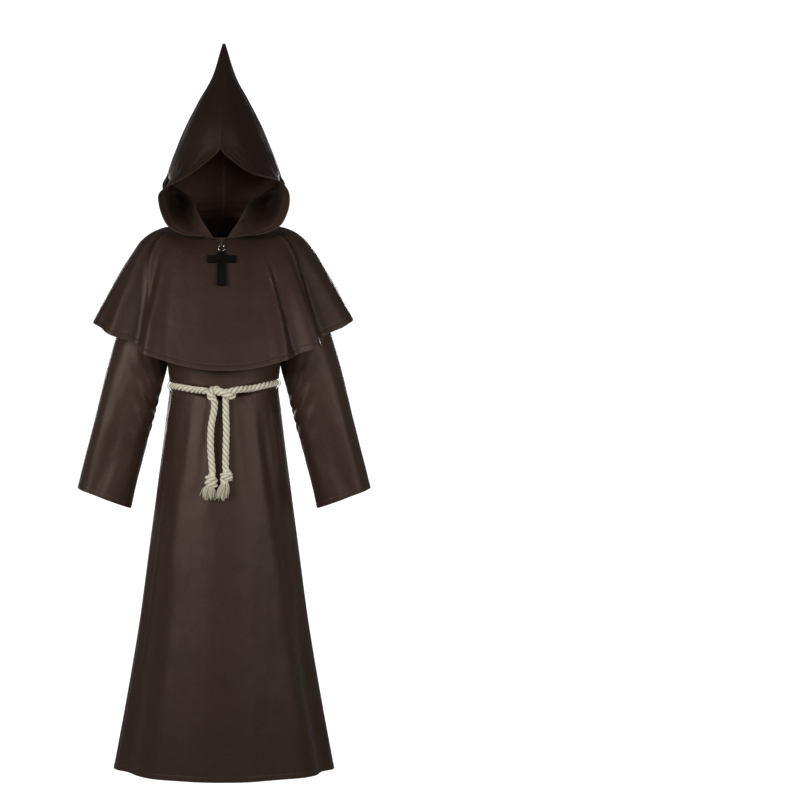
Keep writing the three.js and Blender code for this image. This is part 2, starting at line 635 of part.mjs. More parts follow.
// From one strand of the knot round the waist to the other
function beltRope() {
  const turns = Array.from({ length: BELT.steps + 1 }, (_, i) => (
    beltPoint(lerp(BELT.from, 360 - BELT.from, i / BELT.steps))
  ));
  const [start, end] = [KNOT_UNDER, KNOT_OVER].map(([first, second]) => {
    const at = new THREE.Vector3(...first);
    const away = at.clone().sub(new THREE.Vector3(...second)).normalize();
    return [1.5 * SEAM, ROPE / 2].map((far) => at.clone().addScaledVector(away, far));
  });
  const route = [...start, ...turns, ...end.reverse()];
  return rod(route.map((p) => p.toArray()), ROPE / 2, BELT.steps);
}

function beltKnot() {
  return joined([KNOT_OVER, KNOT_UNDER].map((route) => rod(route, ROPE / 2, 14)));
}

// A knotted end: a squat knot and the strands that fray out of it
function beltEnd({ middle, tilt, fray, flare }) {
  const profile = Array.from({ length: 9 }, (_, i) => {
    const turn = (Math.PI * i) / 8;
    return new THREE.Vector2(END_KNOT.wide * Math.sin(turn), -END_KNOT.tall * Math.cos(turn));
  });
  profile[0].x = 0;
  profile[8].x = 0;
  const knot = new THREE.LatheGeometry(profile, 12)
    .rotateX(Math.PI / 2)
    .rotateY(tilt)
    .translate(...middle);
  const root = new THREE.Vector3(...middle).lerp(new THREE.Vector3(...fray), 0.25);
  const strands = Array.from({ length: FRAY.strands }, (_, i) => {
    const turn = i * 2.39996;
    const spread = Math.sqrt((i + 0.5) / FRAY.strands);
    const spoke = new THREE.Vector3(Math.cos(turn), Math.sin(turn) * 0.75, 0).multiplyScalar(spread);
    const foot = root.clone().addScaledVector(spoke, flare * 0.55);
    const tip = new THREE.Vector3(...fray).addScaledVector(spoke, flare);
    tip.z += 4 * Math.sin(i * 1.7);
    const strand = new THREE.CylinderGeometry(FRAY.thick / 2, FRAY.thick / 3, foot.distanceTo(tip), 3, 1);
    strand.applyQuaternion(
      new THREE.Quaternion().setFromUnitVectors(
        new THREE.Vector3(0, 1, 0),
        foot.clone().sub(tip).normalize(),
      ),
    );
    return strand.translate(...foot.clone().add(tip).multiplyScalar(0.5).toArray());
  });
  return joined([knot, ...strands]);
}

// A thread carrier: a narrow band from the side seam over the rope and back
function carrier(side) {
  const angle = 90 * side;
  const rope = beltPoint(angle);
  const reach = ROPE / 2 + CARRIER.clear;
  const outline = [
    [bodyPoint(angle, rope.z + CARRIER.above).x * side + CARRIER.clear, CARRIER.above],
    [rope.x * side + reach * 0.55, CARRIER.above * 0.8],
    [rope.x * side + reach + 0.5, reach * 0.45],
    [rope.x * side + reach + 0.5, -reach * 0.45],
    [rope.x * side + reach * 0.55, -CARRIER.below * 0.8],
    [bodyPoint(angle, rope.z - CARRIER.below).x * side + CARRIER.clear, -CARRIER.below],
  ];
  const middle = [
    ...outline.map(([x, z]) => new THREE.Vector2(x + CARRIER.thick, z * 1.08)),
    ...outline.reverse().map(([x, z]) => new THREE.Vector2(x, z)),
  ];
  const band = new THREE.ExtrudeGeometry(new THREE.Shape(middle), { depth: CARRIER.wide, bevelEnabled: false });
  band.rotateX(Math.PI / 2).translate(0, CARRIER.wide / 2 + rope.y, rope.z);
  return side > 0 ? band : mirrored(mergeVertices(band));
}

// Rings: a torus whose axis is X (threaded sideways) or Y (facing the front)
function torus(radius, wire, axis) {
  const ring = new THREE.TorusGeometry(radius, wire, 6, 18);
  return axis === 'x' ? ring.rotateY(Math.PI / 2) : ring.rotateX(Math.PI / 2);
}

// The cross hangs in its own upright frame from the top of the jump ring, and leans as a whole
function pendantParts() {
  const ringZ = -JUMP_RING.radius;
  const eyeZ = ringZ - JUMP_RING.radius - EYE.radius + EYE.wire + JUMP_RING.wire + SEAM;
  const top = eyeZ - EYE.radius;
  const outline = new THREE.Shape();
  const [bar, arm, wide] = [CROSS.bar / 2, CROSS.arm / 2, CROSS.wide / 2];
  const armZ = top - CROSS.armAt;
  const foot = top - CROSS.tall;
  const corners = [
    [bar + CROSS.flare / 2, top], [bar, armZ + arm], [wide, armZ + arm + CROSS.flare],
    [wide, armZ - arm - CROSS.flare], [bar, armZ - arm], [bar + CROSS.flare, foot],
  ];
  corners.forEach(([x, z], i) => (i ? outline.lineTo(x, z) : outline.moveTo(x, z)));
  corners.reverse().forEach(([x, z]) => outline.lineTo(-x, z));
  const board = new THREE.ExtrudeGeometry(outline, {
    depth: CROSS.thick - 2 * CROSS.round,
    bevelThickness: CROSS.round,
    bevelSize: CROSS.round,
    bevelOffset: -CROSS.round,
    bevelSegments: 2,
  });
  board.translate(0, 0, -CROSS.thick / 2 + CROSS.round).rotateX(Math.PI / 2);
  const eye = torus(EYE.radius, EYE.wire, 'x').translate(0, 0, eyeZ);
  return {
    ring: torus(JUMP_RING.radius, JUMP_RING.wire, 'y').translate(0, 0, ringZ),
    cross: joined([board, eye]),
  };
}

// The built robe
const robe = new THREE.Group();

function finish(color, roughness, metalness = 0) {
  return new THREE.MeshStandardMaterial({ color, roughness, metalness });
}
const cloth = finish('#3c2c26', 0.55);
const cotton = finish('#cfc6ab', 0.9);
const thread = finish('#33241f', 0.8);
const steel = finish('#b9bcc2', 0.3, 1);
const blackened = finish('#0f0e0d', 0.5);

function add(name, geometry, material, parent = robe) {
  const mesh = new THREE.Mesh(geometry, material);
  mesh.name = name;
  parent.add(mesh);
  return mesh;
}

add('robe_front', robePanel(-1), cloth);
add('robe_back', robePanel(1), cloth);
const leftSleeve = sleeve();
add('sleeve_left', leftSleeve, cloth);
add('sleeve_right', mirrored(leftSleeve), cloth);
add('cape', cape(), cloth);
add('hood_left', hoodHalf(1), cloth);
add('hood_right', hoodHalf(-1), cloth);

add('belt_rope', beltRope(), cotton);
add('belt_knot', beltKnot(), cotton);
for (const side of ['right', 'left']) {
  add(`belt_end_${side}`, rod(END_ROUTES[side], ROPE / 2, 8), cotton);
  add(`belt_tassel_${side}`, beltEnd(ENDS[side]), cotton);
}
add('carrier_left', carrier(1), thread);
add('carrier_right', carrier(-1), thread);

const neckLoop = torus(NECK_LOOP.radius, NECK_LOOP.wire, 'x');
add('neck_loop', neckLoop.translate(NECK_LOOP.x, NECK_LOOP.y, NECK_LOOP.z), thread);

// The pendant turns about the middle of the jump ring's wire, where it rests on the loop
const pendant = new THREE.Group();
const hangZ = NECK_LOOP.z - NECK_LOOP.radius + NECK_LOOP.wire + JUMP_RING.wire + SEAM;
pendant.position.set(NECK_LOOP.x, NECK_LOOP.y, hangZ);
pendant.rotation.x = -radians(PENDANT_LEAN);
const { ring, cross } = pendantParts();
add('jump_ring', ring, steel, pendant);
add('cross', cross, blackened, pendant);
robe.add(pendant);

export default robe;
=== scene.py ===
"""A hooded monk robe with a shoulder cape, a rope belt and a cross.

Every visible piece, its finish and a studio.

Lengths in the tables are millimetres: +Z up, the front faces -Y, and the wearer's left is +X. An angle round
the garment is 0 in front and 90 at the wearer's left.
"""
import math

import bmesh
import bpy
import numpy as np
from bpy.props import FloatProperty, FloatVectorProperty, IntProperty, PointerProperty
from mathutils import Matrix, Vector


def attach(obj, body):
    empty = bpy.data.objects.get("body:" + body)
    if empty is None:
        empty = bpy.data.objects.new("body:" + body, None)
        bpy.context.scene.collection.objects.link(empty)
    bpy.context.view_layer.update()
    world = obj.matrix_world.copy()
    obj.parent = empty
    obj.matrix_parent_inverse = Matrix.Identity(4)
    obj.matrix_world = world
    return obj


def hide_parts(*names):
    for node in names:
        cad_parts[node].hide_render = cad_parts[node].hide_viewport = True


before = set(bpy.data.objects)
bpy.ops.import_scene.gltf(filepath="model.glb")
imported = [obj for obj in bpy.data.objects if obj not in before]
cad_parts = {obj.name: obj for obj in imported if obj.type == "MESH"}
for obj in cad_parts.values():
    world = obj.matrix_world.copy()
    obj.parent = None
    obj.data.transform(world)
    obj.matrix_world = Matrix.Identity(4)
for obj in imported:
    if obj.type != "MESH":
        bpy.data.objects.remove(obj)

bl_info = {
    "name": "Hooded Robe",
    "version": (1, 0, 0),
    "blender": (4, 5, 0),
    "location": "3D View > Sidebar > Robe",
    "description": "Makes a hooded robe with a cape, a rope belt and a cross, and a plain studio for it",
    "category": "Add Mesh",
}

MM = 0.001

# The robe below the underarm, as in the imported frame
HEM_Z = -1340
UNDERARM_Z = -334
ACROSS_POWER = 0.95
CINCH_DEEP = 17
CINCH_REACH = 13
NECK_SHARE = 0.44
SHOULDER = (188, -34)
ARMHOLE = {"x": 141, "hollow": 9, "deep": 58}
COLLAR = {"wide": 92, "front": 78, "back": 85, "side_z": 14, "front_drop": 41}
UNDER_CAPE = {"inwards": 1, "below": 3.2}
LEAN = {"x": -9, "reach": 80, "start": 30, "end": 150, "fade_start": 190, "fade_end": 470}
BELT = {"z": -381, "dip": 26, "rise": 6, "slope": 3.8, "clear": 2.8, "start": 32, "steps": 108}
ROPE = 16
# How far stitches lie above the cloth
STITCH_LIFT = 0.15

# Soft folds of the skirt: angle, width in degrees, depth at the hem, and where the fold begins
SKIRT_FOLDS = [
    (-37, 15, 7, -430), (-62, 15, -11, -520), (24, 16, -7, -560), (47, 15, 9, -430), (66, 13, -9, -520),
    (112, 15, -11, -430), (134, 14, 9, -400), (156, 13, -10, -400), (176, 13, 8, -400),
    (-161, 13, -11, -400), (-138, 14, 9, -400), (-114, 15, -11, -430),
]
# Listed creases of the robe: height and angle at both ends, width in mm at both ends, and depth
ROBE_CREASES = [
    (-440, 38, -1290, 62, 26, 60, -4.5), (-420, 30, -1000, 47, 20, 50, 3.0),
    (-560, -58, -1150, -66, 10, 16, 2.2), (-430, -30, -900, -46, 22, 48, 2.6),
    (-425, -14, -700, -22, 12, 30, -1.6), (-425, 12, -640, 16, 12, 26, -1.5),
    (-425, 55, -620, 60, 12, 30, 2.6), (-425, -70, -640, -72, 12, 30, 2.4),
    (-395, 172, -560, 160, 10, 26, 3.2), (-395, 150, -600, 152, 12, 30, -3.4),
    (-395, -168, -640, -160, 12, 34, -3.0), (-395, -150, -560, -140, 10, 26, 3.0),
    (-395, 128, -620, 136, 12, 30, 3.0), (-395, -128, -640, -132, 12, 30, -3.2),
    (-355, 165, -300, 178, 10, 24, 2.6), (-355, -150, -300, -160, 10, 24, 2.8),
    (-355, 142, -300, 136, 10, 22, -2.6), (-355, -172, -300, -168, 8, 20, -2.4),
    (-470, -77, -1330, -74, 3, 5, 1.6), (-470, 82, -1330, 80, 3, 5, 1.2),
]

# Folds of the cape: angle at the hem, angle at the neckline, width in degrees, depth and where it begins
CAPE_FOLDS = [
    (23, 27, 8, 10, 0.35), (31, 36, 8, -13, 0.4), (39, 50, 9, 15, 0.08), (52, 58, 13, -30, 0.2),
    (72, 74, 10, 8, 0.5), (-31, -50, 9, 13, 0.08), (-43, -56, 12, -30, 0.2), (-56, -64, 10, 9, 0.1),
    (-74, -76, 10, 7, 0.5), (104, 104, 12, -16, 0.35), (119, 121, 8, 15, 0.15), (131, 133, 8, -17, 0.15),
    (142, 145, 8, 17, 0.05), (153, 155, 7, -13, 0.05), (164, 164, 8, 9, 0.25), (-165, -165, 9, 7, 0.25),
    (-152, -154, 8, -16, 0.05), (-141, -145, 8, 20, 0.03), (-130, -133, 8, -18, 0.15),
    (-118, -120, 9, 14, 0.15), (-104, -104, 12, -14, 0.35),
]
CAPE_TIP = {"angle": 90, "wide": 45, "x": -7, "z": 12}
CAPE_POWER = 0.87
CAPE_LENGTH = 400
# Listed creases of the cape: share of its length and angle at both ends, width in mm at both ends, depth
CAPE_CREASES = [
    (0.02, -74, 0.95, -55, 4, 9, 4.0), (0.04, -70, 1.0, -33, 4, 9, 4.0), (0.05, -72, 0.95, -44, 5, 18, -5.0),
    (0.02, 62, 1.0, 40, 4, 8, 4.4), (0.32, 29, 1.0, 25, 3, 7, 3.8), (0.34, 32, 1.0, 29, 4, 9, -3.8),
    (0.12, 62, 0.95, 52, 7, 20, -5.0), (0.5, 47, 1.0, 44, 4, 10, -2.0),
    (0.1, -30, 0.6, -18, 10, 26, -1.2), (0.1, 22, 0.55, 12, 10, 26, -1.2),
    (0.0, 178, 0.35, 170, 3, 10, -1.8), (0.0, -176, 0.3, -168, 3, 10, 2.0), (0.0, 166, 0.5, 160, 3, 12, 2.0),
    (0.0, -158, 0.6, -158, 3, 12, -3.4), (0.0, 154, 0.8, 153, 3, 12, -4.0),
    (0.0, -146, 1.0, -141, 4, 10, 5.0),
    (0.0, 146, 1.0, 143, 4, 10, 5.0), (0.0, -130, 0.95, -130, 4, 18, -4.5),
    (0.0, 132, 0.95, 132, 4, 18, -4.5),
    (0.05, 121, 1.0, 119, 4, 12, 4.0), (0.05, -120, 1.0, -118, 4, 12, 4.0), (0.2, 108, 1.0, 106, 6, 18, -3.0),
    (0.2, -108, 1.0, -106, 6, 18, -3.0), (0.3, 164, 1.0, 164, 4, 10, 2.6),
]

HOOD_ROWS = 22
HOOD_COLUMNS = 22
# Named places of a rib: its column, its angle on the neckline and its angle on a cone
RIB_COLUMNS = (0, 4, 8, 11, 15, 18, 22)
RIB_COLLAR = (180, 135, 90, 45, 11, 5.5, 0)
RIB_CONE = (0, 42, 90, 108, 128, 155, 180)
# Ribs of one half of the hood: back seam, rear, side, tuck, crest of the roll, valley and free edge
HOOD_RIBS = {
    2: (
        (0, 106, 64), (84, 74, 58), (114, 4, 38), (66, -54, 5), (27, -82, -6), (40, -88, -16),
        (53, -95, -19),
    ),
    4: ((0, 120, 92), (98, 84, 84), (126, 6, 64), (80, -22, 40), (44, -81, 18), (71, -60, 6), (95, -96, -15)),
    6: (
        (0, 130, 125), (106, 92, 117), (148, 8, 90), (88, 6, 66), (58, -77, 44), (91, -36, 38),
        (141, -89, 10),
    ),
    8: (
        (0, 138, 160), (110, 98, 150), (154, 10, 116), (98, 24, 92), (72, -54, 73), (106, -12, 70),
        (161, -98, 64),
    ),
    10: (
        (0, 143, 195), (105, 102, 186), (142, 8, 144), (136, -6, 131), (133, -26, 117), (140, -66, 104),
        (149, -110, 94),
    ),
    12: (
        (0, 146, 230), (93, 104, 223), (127, 14, 185), (131, -14, 171), (125, -44, 154),
        (110, -94, 136), (75, -136, 128),
    ),
    14: (
        (0, 146, 268), (75, 104, 264), (105, 12, 243), (102, -24, 232), (92, -62, 217), (56, -112, 199),
        (0, -138, 190),
    ),
}
# Sections of the cone above the face opening: half-width, back, front, and heights at back, side and front
HOOD_CONES = {
    16: (86, 130, 125, 303, 279, 248),
    18: (61.5, 101, 99, 345, 327, 312),
    20: (29.5, 60, 57, 400, 388, 383),
    22: (3.5, 4, 4, 472, 471, 470),
}
CONE_POWER = 1.08
BROW_LIFT = {"row": 10.5, "wide": 2, "start": 15, "z": 13}
# Slumps of slack cloth over the back of the neckline: side, column, row, widths and depth
HOOD_DENTS = [(-1, 5, 2.6, 1.8, 1.6, -17), (1, 5.6, 1.8, 2, 1.3, -13)]

# The rope: both halves of the half knot, and both hanging ends
KNOT_OVER = [
    (-46, -121, -398), (-32, -127, -401), (-18, -136, -401), (-4, -144, -403), (9, -147, -408),
    (19, -142, -411),
    (21, -134, -409), (13, -129, -411), (4, -130, -418), (4, -131, -428),
]
KNOT_UNDER = [
    (34, -124, -395), (21, -128, -398), (8, -130, -401), (-6, -128, -400), (-18, -128, -394),
    (-28, -134, -395),
    (-34, -141, -402), (-33, -145, -411), (-25, -145, -418), (-23, -142, -428),
]
END_ROUTES = {
    "right": [
        (-24.9, -139.8, -437.1), (-24.2, -138.5, -446), (-26.5, -137.4, -458), (-29.3, -137, -472),
        (-31.3, -137.4, -486), (-32, -138.2, -499), (-32.6, -139.2, -512), (-32.7, -140.3, -525),
        (-32.4, -141.4, -538), (-31.6, -142.5, -551), (-30.6, -143.7, -563), (-29.6, -144.9, -575),
        (-28.8, -146, -586), (-28.4, -147, -596), (-28.3, -147.6, -604),
    ],
    "left": [
        (6.7, -129.2, -438.2), (4.6, -131.1, -447), (4.4, -132.8, -459), (5.2, -134.4, -472),
        (5.8, -136, -485), (5.8, -137.6, -497), (5.4, -139.2, -509), (5, -140.8, -521),
        (4.6, -142.3, -533), (4.4, -143.8, -545), (4.2, -145.2, -557), (4, -146.6, -569),
        (4, -147.7, -579), (4.3, -148.6, -587), (4.8, -149.2, -594),
    ],
}
# The knot and frayed end below each route: middle, the foot of the fray, its flare, and the knot's first turn
END_KNOTS = {
    "right": {"middle": (-31, -151, -617), "foot": (-40, -155, -654), "flare": 14, "turn": 200},
    "left": {"middle": (6, -153, -606), "foot": (-7, -156, -655), "flare": 12.5, "turn": 20},
}

# The cross and what it hangs on
NECK_LOOP = {"x": -6, "y": -94.5, "z": -34, "radius": 9, "wire": 1.1}
PENDANT_LEAN = 18.6
JUMP_RING = {"radius": 7.6, "wire": 1.1}
EYE = {"radius": 3.1, "wire": 1}
RING_GAP = 0.3
CROSS = {"tall": 87, "wide": 70, "bar": 19, "arm": 16, "thick": 5, "arm_at": 18, "flare": 1.8}


# Curves and folds
def smooth(value, start, end):
    """A soft step from 0 at start to 1 at end."""
    share = np.clip((value - start) / (end - start), 0, 1)
    return share * share * (3 - 2 * share)


def lerp(start, end, share):
    return start + (end - start) * share


def hermite(places, values, at):
    """A smooth curve through values, which may be points or whole rows of them, at rising places."""
    places = np.asarray(places, float)
    values = np.asarray(values, float)
    at = np.asarray(at, float)
    last = len(places) - 1
    after = np.minimum(np.arange(last + 1) + 1, last)
    before = np.maximum(np.arange(last + 1) - 1, 0)
    wide = (slice(None),) + (None,) * (values.ndim - 1)
    slopes = (values[after] - values[before]) / (places[after] - places[before])[wide]
    flat = at.ravel()
    i = np.clip(np.searchsorted(places, flat, side="right") - 1, 0, last - 1)
    span = (places[i + 1] - places[i])[wide]
    t = np.clip((flat - places[i]) / (places[i + 1] - places[i]), 0, 1)[wide]
    bend = t * t * (3 - 2 * t)
    found = values[i] + (values[i + 1] - values[i]) * bend
    found = found + slopes[i] * span * (t**3 - 2 * t * t + t) + slopes[i + 1] * span * (t**3 - t * t)
    return found.reshape(at.shape + values.shape[1:])


def tracks(names, rows):
    """One smooth curve for each named column of a table, over its first column."""
    table = np.array(sorted(rows), float)
    return {
        name: (lambda at, column=column: hermite(table[:, 0], table[:, column], at))
        for column, name in enumerate(names.split()[1:], 1)
    }


BODY = tracks("z wide front back flat", [
    (-1340, 276, 180, 180, 1.45), (-1150, 241, 171, 168, 1.35), (-970, 211, 159, 154, 1.25),
    (-790, 187, 147, 141, 1.15), (-610, 163, 134, 128, 1.05), (-520, 151.5, 126, 121, 1),
    (-430, 141, 118, 114, 0.95), (-385, 136, 113, 110, 0.9), (-334, 141, 117, 115, 0.9),
])
SLEEVE = tracks("s outer_x outer_z inner_x inner_z deep", [
    (0, 188, -34, 141, -334, 58), (0.2, 222, -116, 147, -362, 62), (0.4, 258, -222, 162, -415, 62),
    (0.6, 294, -345, 182, -490, 60), (0.8, 330, -494, 207, -585, 55), (1, 366, -640, 231.5, -690, 50),
])
CAPE = tracks("t side_x side_z front_y front_z back_y back_z", [
    (0, 92, 14, 78, -27, 85, 55), (0.2, 152, 11, 98, -64, 113, 30), (0.4, 204, -20, 117, -128, 133, -45),
    (0.6, 245, -78, 133, -202, 147, -130), (0.8, 288, -152, 146, -276, 158, -216),
    (1, 328, -222, 155, -350, 167, -302),
])


def noise(across, along, seed):
    """Soft noise from -1 to 1 over two coordinates, the same on each run."""
    size = 64
    table = np.random.default_rng(seed).uniform(-1, 1, (size, size))
    across, along = np.broadcast_arrays(np.asarray(across, float), np.asarray(along, float))
    i = np.floor(across).astype(int)
    j = np.floor(along).astype(int)
    s = smooth(across - i, 0, 1)
    t = smooth(along - j, 0, 1)
    corner = [[table[(i + a) % size, (j + b) % size] for b in (0, 1)] for a in (0, 1)]
    return lerp(lerp(corner[0][0], corner[1][0], s), lerp(corner[0][1], corner[1][1], s), t)


def ripples(across, along, seed, layers=3):
    """Noise with finer and weaker layers on it."""
    return sum(noise(across * 2**k + 7.3 * k, along * 2**k, seed + k) / 2**k for k in range(layers))


def turned(angle, place):
    """Degrees from a place round a ring, from -180 to 180."""
    return (angle - place + 540) % 360 - 180


def bump(angle, place, wide):
    """How far a fold stands out at an angle: 1 on its line, 0 a width away."""
    off = np.minimum(1, np.abs(turned(angle, place)) / wide)
    return np.cos(off * math.pi / 2) ** 2


def creases(rows, along, angle, radius):
    """Depth of listed creases, each running from one place to another and fading at both ends."""
    total = 0.0
    for from_along, from_angle, to_along, to_angle, from_wide, to_wide, depth in rows:
        share = (along - from_along) / (to_along - from_along)
        held = np.clip(share, 0, 1)
        off = np.abs(turned(angle, lerp(from_angle, to_angle, held))) * radius * math.pi / 180
        wide = lerp(from_wide, to_wide, held)
        ends = smooth(share, -0.02, 0.2) * (1 - smooth(share, 0.75, 1.05))
        total = total + depth * ends * np.exp(-((off / wide) ** 2) * 2)
    return total


def points(x, y, z):
    return np.stack(np.broadcast_arrays(x, y, z), axis=-1).astype(float)


def ring_shares(angle, across_power, ahead_power):
    """The sine and cosine of a ring, each raised to a power: below 1 is squarer than an ellipse."""
    sine = np.sin(np.radians(angle))
    cosine = np.cos(np.radians(angle))
    across = np.sign(sine) * np.abs(sine) ** across_power
    ahead = np.sign(cosine) * np.abs(cosine) ** ahead_power
    return across, ahead


# The robe
def belt_z(angle):
    """The height of the belt: pulled down to the knot in front, and a little higher behind."""
    sine = np.sin(np.radians(angle))
    sway = np.where(np.cos(np.radians(angle)) > 0, -BELT["dip"], BELT["rise"])
    return BELT["z"] + sway * (1 - np.abs(sine)) + BELT["slope"] * sine


def body_point(angle, z, detail=0.0):
    across, ahead = ring_shares(angle, ACROSS_POWER, BODY["flat"](z))
    deep = np.where(ahead > 0, BODY["front"](z), BODY["back"](z))
    loose = CINCH_REACH * (1 + 0.35 * noise(angle / 6.0, 0.5, 3) ** 2 * np.abs(np.cos(np.radians(angle))))
    off = np.minimum(1, np.abs(z - belt_z(angle)) / loose)
    folds = detail - CINCH_DEEP * np.cos(off * math.pi / 2) ** 2
    for place, wide, depth, top in SKIRT_FOLDS:
        folds = folds + depth * bump(angle, place, wide) * smooth(z, top, HEM_Z)
    out = np.radians(angle)
    return points(
        BODY["wide"](z) * across + folds * np.sin(out),
        -deep * ahead - folds * np.cos(out),
        z,
    )


def robe_detail(angle, z, strength):
    """The small forms of the robe: gathers at the belt, listed creases and slack."""
    girth = 1.15 * BODY["wide"](z)
    along = angle * girth * math.pi / 180
    off = np.abs(z - belt_z(angle))
    behind = smooth(np.abs(turned(angle, 0)), 20, 110)
    pleats = np.abs(noise(along / 15 + z / 140, z / 160, 11)) ** 0.8 + 0.5 * noise(along / 7, z / 70, 12)
    gathers = -lerp(0.8, 3.0, behind) * pleats * np.exp(-((off / lerp(26, 46, behind)) ** 1.3))
    slack = 1.7 * ripples(along / 95 + 3, z / 420, 21) * smooth(off, 10, 200)
    wrinkle = 0.55 * ripples(along / 38, z / 60, 31)
    seam = 1 - smooth(np.abs(np.sin(np.radians(angle))), 0.985, 0.9999)
    return strength * seam * (gathers + slack + wrinkle + creases(ROBE_CREASES, z, angle, girth))


def armhole_point(t, face):
    hollow = ARMHOLE["hollow"] * np.sin(math.pi * t)
    return points(
        lerp(ARMHOLE["x"], SHOULDER[0], t) - hollow,
        face * ARMHOLE["deep"] * (4 * t * (1 - t)) ** 0.7,
        lerp(UNDERARM_Z, SHOULDER[1], t),
    )


def collar_point(angle):
    sine = np.sin(np.radians(angle))
    cosine = np.cos(np.radians(angle))
    deep = np.where(cosine > 0, COLLAR["front"], COLLAR["back"])
    return points(COLLAR["wide"] * sine, -deep * cosine, COLLAR["side_z"] - COLLAR["front_drop"] * cosine)


def lean_at(at):
    forward = smooth(-at[..., 1], 0, LEAN["reach"])
    return LEAN["x"] * forward * (1 - smooth(np.abs(at[..., 0]), LEAN["start"], LEAN["end"]))


def top_edge(u, face):
    """The top edge of a panel: its neckline, then its shoulder seam."""
    share = np.abs(u)
    turn = np.minimum(1, share / NECK_SHARE) * 90
    neck = collar_point(turn if face < 0 else 180 - turn)
    neck[..., 0] -= np.sin(np.radians(turn)) * UNDER_CAPE["inwards"]
    neck[..., 1] -= face * np.cos(np.radians(turn)) * UNDER_CAPE["inwards"]
    neck[..., 0] *= np.sign(u)
    neck[..., 2] -= UNDER_CAPE["below"]
    along = np.maximum(0, (share - NECK_SHARE) / (1 - NECK_SHARE))
    return points(
        lerp(neck[..., 0], np.sign(u) * SHOULDER[0], along),
        neck[..., 1] * (share <= NECK_SHARE),
        lerp(neck[..., 2], SHOULDER[1], along**1.15),
    )


def yoke_point(u, v, face):
    """The panel above the underarm, v from 0 there to 1 at its top edge."""
    start = body_point(u * 90 if face < 0 else 180 - u * 90, float(UNDERARM_Z))
    end = top_edge(u, face)
    on_shoulder = smooth(np.abs(u), NECK_SHARE * 0.75, NECK_SHARE * 1.25)
    arrive = points(0, -face * lerp(60, 190, on_shoulder), lerp(150, 0, on_shoulder))
    leave = points(0, face * 25 * (1 - np.abs(u)), 270)
    v = v[..., None]
    at = (
        start * (2 * v**3 - 3 * v**2 + 1)
        + leave * (v**3 - 2 * v**2 + v)
        + end * (3 * v**2 - 2 * v**3)
        + arrive * (v**3 - v**2)
    )
    at[..., 0] += lean_at(at) * smooth(v[..., 0], 0.5, 1)
    return at


def yoke_with_armhole(u, v, face):
    side = np.where(u < 0, -1.0, 1.0)
    edge = armhole_point(v, face)
    edge[..., 0] *= side
    off = edge - yoke_point(side, v, face)
    return yoke_point(u, v, face) + off * smooth(np.abs(u), 0.5, 1)[..., None]


def belt_shift(z):
    """How much a row at this height follows the dip of the belt."""
    return smooth(z, -520, -400) * (1 - smooth(z, -372, UNDERARM_Z))


# A sleeve on the wearer's left: turn is 0 along its outer line, 90 in front, 180 along its inner line
def sleeve_point(turn, s, detail=0.0):
    sine = np.sin(np.radians(turn))
    share = (1 + np.cos(np.radians(turn))) / 2
    deep = (SLEEVE["deep"](s) + detail) * np.sign(sine) * np.abs(sine) ** 0.95
    ring = points(
        lerp(SLEEVE["inner_x"](s), SLEEVE["outer_x"](s), share) + detail * (2 * share - 1) * 0.6,
        -deep,
        lerp(SLEEVE["inner_z"](s), SLEEVE["outer_z"](s), share),
    )
    face = np.where(sine >= 0, -1, 1)
    hole = armhole_point(share, face)
    hole[..., 1] *= np.abs(sine) > 1e-9
    at = lerp(hole, ring, smooth(s, 0, 0.3)[..., None])
    return at


def sleeve_detail(turn, s, strength):
    """Long soft folds, slack round the elbow and small wrinkles."""
    along = turn * 1.3
    elbow = np.exp(-(((s - 0.52) / 0.16) ** 2))
    inner = smooth(np.abs(turned(turn, 180)), 120, 10)
    bends = 3.2 * elbow * inner * np.sin(s * 62 + 1.4 * np.sin(np.radians(turn * 1.5)) + 0.6)
    slack = 2.4 * ripples(along / 70 + 2 * s, s * 3.1, 41) * smooth(s, 0.05, 0.4)
    wrinkle = 0.5 * ripples(along / 26, s * 12, 51)
    fold = 4.0 * np.exp(-((turned(turn, 62 - 12 * s) / 16) ** 2)) * smooth(s, 0.35, 0.8)
    fold = fold - 3.6 * np.exp(-((turned(turn, 96 - 6 * s) / 18) ** 2)) * smooth(s, 0.3, 0.8)
    fold = fold - 3.0 * np.exp(-((turned(turn, -80 + 10 * s) / 20) ** 2)) * smooth(s, 0.3, 0.9)
    fold = fold + 2.6 * np.exp(-((turned(turn, -50) / 14) ** 2)) * smooth(s, 0.3, 0.9)
    return strength * (bends + slack + wrinkle + fold) * smooth(s, 0, 0.12)


